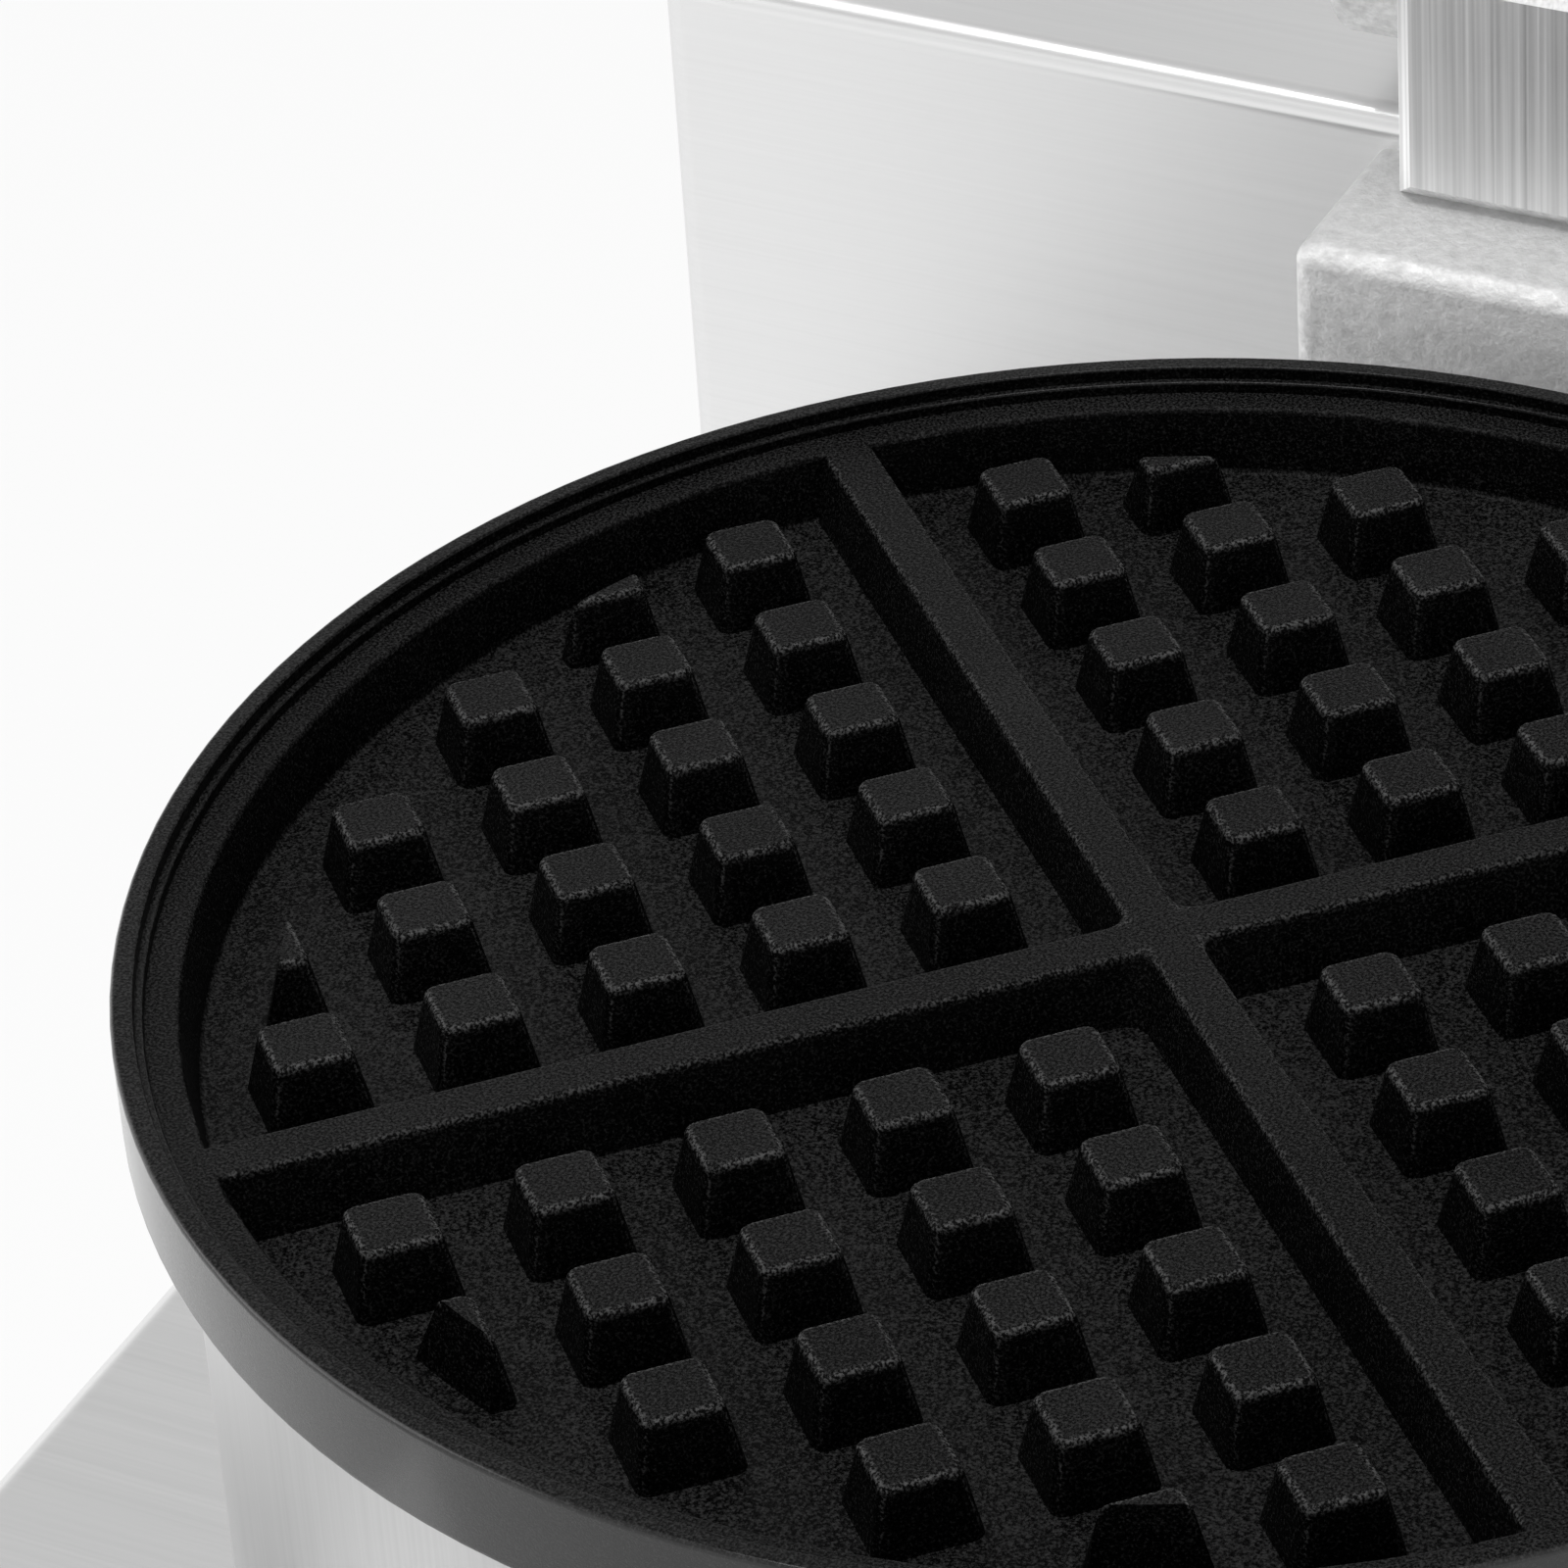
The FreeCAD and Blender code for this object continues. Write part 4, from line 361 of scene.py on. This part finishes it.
def coated(name, middle, turn):
    """The plates' coat, with its wear and painted highlights laid out on the pegs of a plate that stands at
    a place and a turn, and painted shade on its steep sides.
    """
    material, tree, shader = finish(name, IOR=1.38, Specular_IOR_Level=0.06, Coat_Roughness=0.16,
                                    Coat_IOR=1.55)
    where = add(tree, "TexCoord").outputs
    stood = add(tree, "Mapping", {"Vector": where["Object"], "Location": middle, "Rotation": turn},
                vector_type="TEXTURE").outputs["Vector"]
    facing = add(tree, "Mapping", {"Vector": where["Normal"], "Rotation": turn},
                 vector_type="TEXTURE").outputs["Vector"]
    level = spread(tree, add(tree, "SeparateXYZ", {"Vector": facing}).outputs["Z"], STEEP, LEVEL)
    spray = noise(tree, where["Object"], SPRAY_SCALE, 2.0, Roughness=0.6)
    speck = noise(tree, where["Object"], SPRAY_SCALE, 2.0)
    patch = placed(tree, wiped_haze, {"Vector": where["Object"], "Scale": PATCH_SCALE})["Haze"]
    grain = reckon(tree, "ADD", spray, reckon(tree, "MULTIPLY", patch, PATCH_SHARE))
    # painted shade: less grain on steep sides gives them a darker colour, standing in for light that falls
    # from above
    grain = reckon(tree, "MULTIPLY", grain, spread(tree, level, 0.0, 1.0, STEEP_SHADE, 1.0))
    black = ramp(tree, grain, [(0.45, grey(COAT_BLACK)), (0.7, grey(COAT_GRAIN))])
    markings = placed(tree, peg_wear_and_highlight, {"Vector": stood})
    # painted highlight and wear: the edges of pegs and dividers are painted bright in the base colour
    rubbed_and_highlit = reckon(tree, "MULTIPLY", markings["WearAndHighlight"], spread(tree, speck, 0.45, 0.63))
    feed(tree, shader["Base Color"], between(tree, rubbed_and_highlit, black, (*grey(COAT_WORN_HIGHLIGHT), 1.0)))
    feed(tree, shader["Roughness"], evened(tree, spray, 0.26, 0.44))
    feed(tree, shader["Coat Weight"], markings["Wall"])
    relief(tree, shader, spray, strength=0.8, distance=0.00015)
    return material


LID_OPEN, PLATE_GAP, PEG_LEVEL = radians(100), 0.0027, 0.18
GRID_TURN = radians(45)
pin = next(Vector(joint["pos_m"]) for joint in frame["joints"] if joint["name"] == "lid_hinge")
lower_middle = Vector((0.0, middle_of("lower_skirt").y, PEG_LEVEL))
swung = Matrix.Rotation(-LID_OPEN, 3, "X")
upper_middle = pin + swung @ (lower_middle + Vector((0.0, 0.0, PLATE_GAP)) - pin)
upper_turn = swung @ Matrix.Rotation(pi, 3, "X") @ Matrix.Rotation(GRID_TURN, 3, "Z")
dress(coated("lower_coat", lower_middle, (0.0, 0.0, GRID_TURN)), "lower_plate")
dress(coated("upper_coat", upper_middle, upper_turn.to_euler()), "upper_plate")


# Hinge block and lid arm: sand-cast aluminium, left as cast and only milled where they bolt on.
# The skin is pebbled and pitted and a little darker in the pits; faces that look up are painted darker, as
# painted shade.

PEBBLE_SCALE, PIT_SCALE, PEBBLE_SHARE = 950.0, 420.0, 0.75
TOP_SHADE_GREY, TOP_SHADE_SHARE = 0.4, 0.4
cast, tree, shader = finish("cast_aluminium", Metallic=1.0)
where = add(tree, "TexCoord").outputs
pebble = noise(tree, where["Object"], PEBBLE_SCALE, 6.0, Roughness=0.62)
pits = add(tree, "TexVoronoi", {"Vector": where["Object"], "Scale": PIT_SCALE}).outputs["Distance"]
skin = weighed(tree, pebble, pits, PEBBLE_SHARE)
upward = add(tree, "SeparateXYZ", {"Vector": where["Normal"]}).outputs["Z"]
# painted shade: faces that look up are painted darker than the sides
top_shade = spread(tree, upward, STEEP, LEVEL, 0.0, TOP_SHADE_SHARE)
skin_tint = ramp(tree, skin, [(0.3, grey(0.74)), (0.65, grey(0.95))])
feed(tree, shader["Base Color"], between(tree, top_shade, skin_tint, (*grey(TOP_SHADE_GREY), 1.0)))
feed(tree, shader["Roughness"], evened(tree, skin, 0.76, 0.62))
relief(tree, shader, skin, strength=0.6, distance=0.0004)
dress(cast, "hinge_block", "lid_arm")


# Hinge post and handle bracket: milled from aluminium bar, with the cutter's marks left on them.
# The marks run up and down the post, bright and dark by turns.

milled = stainless("milled_aluminium", UPRIGHT, dark=0.6, light=1.0, smooth=0.36, rough=0.62)
dress(milled, "hinge_post", "handle_bracket")


# Bushes and capillary: sintered bronze in the lid's eyes, and the thermostat's drawn copper tube.
# Both have dulled to brown.

TARNISH_SCALE = 140.0
bronze, tree, shader = finish("dull_bronze", Metallic=1.0)
where = add(tree, "TexCoord").outputs["Object"]
tarnish = placed(tree, wiped_haze, {"Vector": where, "Scale": TARNISH_SCALE})["Haze"]
feed(tree, shader["Base Color"], ramp(tree, tarnish, [(0.0, (0.3, 0.2, 0.1)), (1.0, (0.56, 0.4, 0.2))]))
feed(tree, shader["Roughness"], spread(tree, tarnish, 0.0, 1.0, 0.5, 0.3))
dress(bronze, "hinge_bushes", "thermostat_capillary")


# Lid cover: a stainless pressing over the upper plate, brushed like the body.
# The lid stands open, so its grain is turned with it.

LID_UPRIGHT = (LID_OPEN, radians(90), 0.0)
lid_steel = stainless("pressed_cover", LID_UPRIGHT, dark=0.7, light=0.8, smooth=0.28, rough=0.38)
dress(lid_steel, "lid_cover")


# Handle grip, cap and knobs: black phenolic mouldings, screwed or pushed onto their spindles.
# The surface is satin with a faint moulding mottle.

phenolic = moulding("black_phenolic", level=0.014, smooth=0.28, rough=0.42, scale=1500.0, depth=0.00006)
dress(phenolic, "handle_grip", "handle_cap", "thermostat_knob", "timer_knob")


# Glands, switch and control bodies: black nylon mouldings, the rocker polished.
# Nylon is dull and grained, and the rocker is much smoother.

nylon = moulding("black_nylon", level=0.02, smooth=0.45, rough=0.6, scale=1900.0, depth=0.0001)
dress(nylon, "cable_gland", "gland_nut", "column_gland", "lid_gland", "switch_housing", "thermostat",
      "timer")
polished = moulding("polished_rocker", level=0.016, smooth=0.12, rough=0.22, scale=900.0, depth=0.00002)
dress(polished, "switch_rocker")


# Lamps: tinted plastic lenses pushed into the panel, amber for power and green for ready.
# The tint is uneven, as in a moulding with a rippled back.

RIPPLE_SCALE = 320.0


def lens(name, deep, pale):
    """A tinted lens."""
    material, tree, shader = finish(name, Roughness=0.12, Coat_Weight=0.6)
    where = add(tree, "TexCoord").outputs["Object"]
    ripple = noise(tree, where, RIPPLE_SCALE, 3.0)
    feed(tree, shader["Base Color"], ramp(tree, ripple, [(NOISE_LOW, deep), (NOISE_HIGH, pale)]))
    relief(tree, shader, ripple, strength=0.3, distance=0.0003)
    return material


dress(lens("amber_lens", deep=(0.55, 0.16, 0.01), pale=(0.85, 0.32, 0.04)), "power_lamp")
dress(lens("green_lens", deep=(0.02, 0.3, 0.06), pale=(0.08, 0.52, 0.14)), "ready_lamp")


# Dial scales: ticks and plain numbers printed on the panel round each knob, clockwise from the top.
# The ink is a hair thick, black, and a little uneven where it was screened over the brushed grain.

INK_PROUD = 0.00006
TICK_START, TICK_LONG, TICK_SHORT, TICK_HALF = 0.0218, 0.0032, 0.0018, 0.00024
NUMBER_RING, NUMBER_SIZE, NUMBER_STEPS = 0.0276, 0.0038, 3
FACE_FRONT = Euler((radians(90), 0.0, 0.0)).to_matrix().to_4x4()
BLOCK_SIDES = ((0, 1, 3, 2), (4, 6, 7, 5), (0, 4, 5, 1), (2, 3, 7, 6), (0, 2, 6, 4), (1, 5, 7, 3))


def print_block(sheet, low, high, place):
    """Adds one flat block of ink between two corners, drawn facing up and then placed."""
    corners = [Vector((x, y, z)) for x in (low[0], high[0]) for y in (low[1], high[1])
               for z in (0.0, INK_PROUD)]
    made = [sheet.verts.new(place @ corner) for corner in corners]
    for side in BLOCK_SIDES:
        sheet.faces.new([made[n] for n in side])


def print_number(sheet, words, place):
    """Adds a plain number in ink, centred on its place."""
    bpy.ops.object.select_all(action="DESELECT")
    bpy.ops.object.text_add()
    letters = bpy.context.object
    letters.data.body = words
    letters.data.size = NUMBER_SIZE
    letters.data.align_x = letters.data.align_y = "CENTER"
    letters.data.extrude = INK_PROUD / 2
    letters.data.resolution_u = NUMBER_STEPS
    bpy.ops.object.convert(target="MESH")
    letters.data.transform(place @ Matrix.Translation((0.0, 0.0, INK_PROUD / 2)))
    sheet.from_mesh(letters.data)
    bpy.data.objects.remove(letters)


def printed(name, sheet, ink, body):
    """Makes a printed mark an object that moves with a body."""
    bmesh.ops.recalc_face_normals(sheet, faces=sheet.faces)
    mesh = bpy.data.meshes.new(name)
    sheet.to_mesh(mesh)
    sheet.free()
    mark = bpy.data.objects.new(name, mesh)
    bpy.context.scene.collection.objects.link(mark)
    mesh.materials.append(ink)
    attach(mark, body)


def dial(name, knob, numbers, step, parts):
    """Prints a scale round a knob: a number at each long tick, and short ticks that divide each step."""
    centre = middle_of(knob)
    centre.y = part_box("control_panel")[0].y
    at_face = Matrix.Translation(centre) @ FACE_FRONT
    sheet = bmesh.new()
    for n in range((len(numbers) - 1) * parts + 1):
        turn = radians(step * n / parts)
        reach = TICK_LONG if n % parts == 0 else TICK_SHORT
        print_block(sheet, (-TICK_HALF, TICK_START), (TICK_HALF, TICK_START + reach),
                    at_face @ Matrix.Rotation(-turn, 4, "Z"))
        if n % parts == 0:
            spot = (NUMBER_RING * sin(turn), NUMBER_RING * cos(turn), 0.0)
            print_number(sheet, numbers[n // parts], at_face @ Matrix.Translation(spot))
    printed(name, sheet, black_ink, "base")


black_ink = moulding("black_ink", level=0.016, smooth=0.5, rough=0.66, scale=2600.0, depth=0.00002)
heats = [str(50 * n) for n in range(7)]
minutes = [str(n) for n in range(6)]
dial("thermostat_scale", "thermostat_knob", heats, step=45.0, parts=5)
dial("timer_scale", "timer_knob", minutes, step=60.0, parts=4)


# Knob pointers and switch marks: white ink on the black mouldings, which turns and tilts with them.
# A line runs down the upper half of each knob's bar; the rocker has a stroke above and a ring below.

POINTER_LOW, POINTER_HIGH, POINTER_HALF = 0.003, 0.0135, 0.0006
MARK_HALF, MARK_STROKE, RING_SIDES = 0.0021, 0.00038, 28
ROCKER_REST, ROCKER_SLOPE = radians(9.0), radians(9.9)
ROCKER_STAND, ROCKER_UP = 0.00757, 0.00536
white_ink = moulding("white_ink", level=0.56, smooth=0.45, rough=0.6, scale=2600.0, depth=0.00002)
for name in ("thermostat", "timer"):
    face = middle_of(f"{name}_knob")
    face.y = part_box(f"{name}_knob")[0].y
    sheet = bmesh.new()
    print_block(sheet, (-POINTER_HALF, POINTER_LOW), (POINTER_HALF, POINTER_HIGH),
                Matrix.Translation(face) @ FACE_FRONT)
    printed(f"{name}_pointer", sheet, white_ink, f"{name}_control")

pivot = next(Vector(joint["pos_m"]) for joint in frame["joints"] if joint["name"] == "rocker_tilt")
tilted = Matrix.Translation(pivot) @ Matrix.Rotation(ROCKER_REST, 4, "X")


def rocker_face(side):
    """The place of a mark on the rocker's upper face, side 1, or its lower face, side -1."""
    out = Matrix.Translation((0.0, -ROCKER_STAND, side * ROCKER_UP))
    return tilted @ out @ Matrix.Rotation(side * ROCKER_SLOPE, 4, "X") @ FACE_FRONT


sheet = bmesh.new()
print_block(sheet, (-MARK_STROKE, -MARK_HALF), (MARK_STROKE, MARK_HALF), rocker_face(1))
outer, inner = MARK_HALF, MARK_HALF - MARK_STROKE * 2
loops = []
for reach, height in ((outer, 0.0), (outer, INK_PROUD), (inner, INK_PROUD), (inner, 0.0)):
    turns = [2 * pi * n / RING_SIDES for n in range(RING_SIDES)]
    loops.append([sheet.verts.new(rocker_face(-1) @ Vector((reach * cos(turn), reach * sin(turn), height)))
                  for turn in turns])
for first, second in zip(loops, loops[1:] + loops[:1]):
    for n in range(RING_SIDES):
        sheet.faces.new((first[n - 1], first[n], second[n], second[n - 1]))
printed("rocker_marks", sheet, white_ink, "rocker")


# Floor: a plain pale sheet that carries the machine.
# It reads as white to the lens and in reflections, and still takes the shadow.

def seen(tree):
    """One for rays from the lens, from a gloss or through glass, and nought for the light that falls."""
    path = add(tree, "LightPath").outputs
    mirrored = reckon(tree, "MAXIMUM", path["Is Glossy Ray"], path["Is Transmission Ray"])
    return reckon(tree, "MAXIMUM", path["Is Camera Ray"], mirrored)


FLOOR_HALF, FLOOR_TOOTH, FLOOR_GLOW = 14.0, 30.0, 0.9
WHITE = (1.0, 1.0, 1.0, 1.0)
bpy.ops.object.select_all(action="DESELECT")
bpy.ops.mesh.primitive_plane_add(size=FLOOR_HALF * 2, location=(0.0, 0.0, 0.0))
floor = bpy.context.object
floor.name = "floor"
paper, tree, shader = finish("pale_floor", Roughness=0.9)
where = add(tree, "TexCoord").outputs["Object"]
tooth = noise(tree, where, FLOOR_TOOTH, 3.0)
feed(tree, shader["Base Color"], ramp(tree, tooth, [(0.0, grey(0.86)), (1.0, grey(0.9))]))
glow = add(tree, "Emission", {"Color": WHITE, "Strength": 1.0}).outputs[0]
mixed = add(tree, "MixShader", {0: reckon(tree, "MULTIPLY", seen(tree), FLOOR_GLOW),
                                1: tree.nodes["Principled BSDF"].outputs[0], 2: glow}).outputs[0]
feed(tree, tree.nodes["Material Output"].inputs["Surface"], mixed)
floor.data.materials.append(paper)


# Light: a soft panel above and weaker ones at the left and front right.
# Round them is a white room that dims upwards and lights the machine only a little.

def soft_panel(name, place, size, watts):
    """A square studio panel that faces the lower plate."""
    data = bpy.data.lights.new(name, "AREA")
    data.shape = "SQUARE"
    data.size = size
    data.energy = watts
    lamp = bpy.data.objects.new(name, data)
    lamp.location = place
    lamp.rotation_euler = (lower_middle - Vector(place)).to_track_quat("-Z", "Y").to_euler()
    bpy.context.scene.collection.objects.link(lamp)


soft_panel("top_panel", (-0.1, -0.1, 1.75), size=0.7, watts=16.0)
soft_panel("left_panel", (-1.3, -0.5, 0.9), size=1.0, watts=4.0)
soft_panel("front_panel", (0.9, -1.3, 1.1), size=0.8, watts=1.5)

DIM_FROM, DIM_FULL, DIM_LEVEL, ROOM_FILL = 0.1, 0.5, 0.62, 0.22
world = bpy.data.worlds.new("white_room")
bpy.context.scene.world = world
world.use_nodes = True
tree = world.node_tree
backdrop = tree.nodes["Background"].inputs
backdrop["Color"].default_value = WHITE
aloft = add(tree, "SeparateXYZ", {"Vector": add(tree, "TexCoord").outputs["Generated"]}).outputs["Z"]
wall_light = spread(tree, aloft, DIM_FROM, DIM_FULL, 1.0, DIM_LEVEL)
fill = spread(tree, seen(tree), 0.0, 1.0, ROOM_FILL, 1.0)
feed(tree, backdrop["Strength"], reckon(tree, "MULTIPLY", wall_light, fill))


# Camera: the photograph's own view, close over the plate from the front right.

CAMERA_PLACE = (0.2436, -0.54335, 0.5852)
CAMERA_LOOK = (-0.40043229, 0.72134808, -0.56507604)
CAMERA_ROLL = radians(-4.15)
CAMERA_LENS, CAMERA_SENSOR, CAMERA_NEAR = 171.85, 36.0, 0.01
camera = bpy.data.objects.new("camera", bpy.data.cameras.new("camera"))
camera.location = CAMERA_PLACE
camera.rotation_euler = (Vector(CAMERA_LOOK).to_track_quat("-Z", "Y").to_matrix()
                         @ Euler((0.0, 0.0, CAMERA_ROLL)).to_matrix()).to_euler()
camera.data.lens = CAMERA_LENS
camera.data.sensor_width = CAMERA_SENSOR
camera.data.clip_start = CAMERA_NEAR
bpy.context.scene.collection.objects.link(camera)
bpy.context.scene.camera = camera
bpy.context.scene.view_settings.view_transform = "Standard"
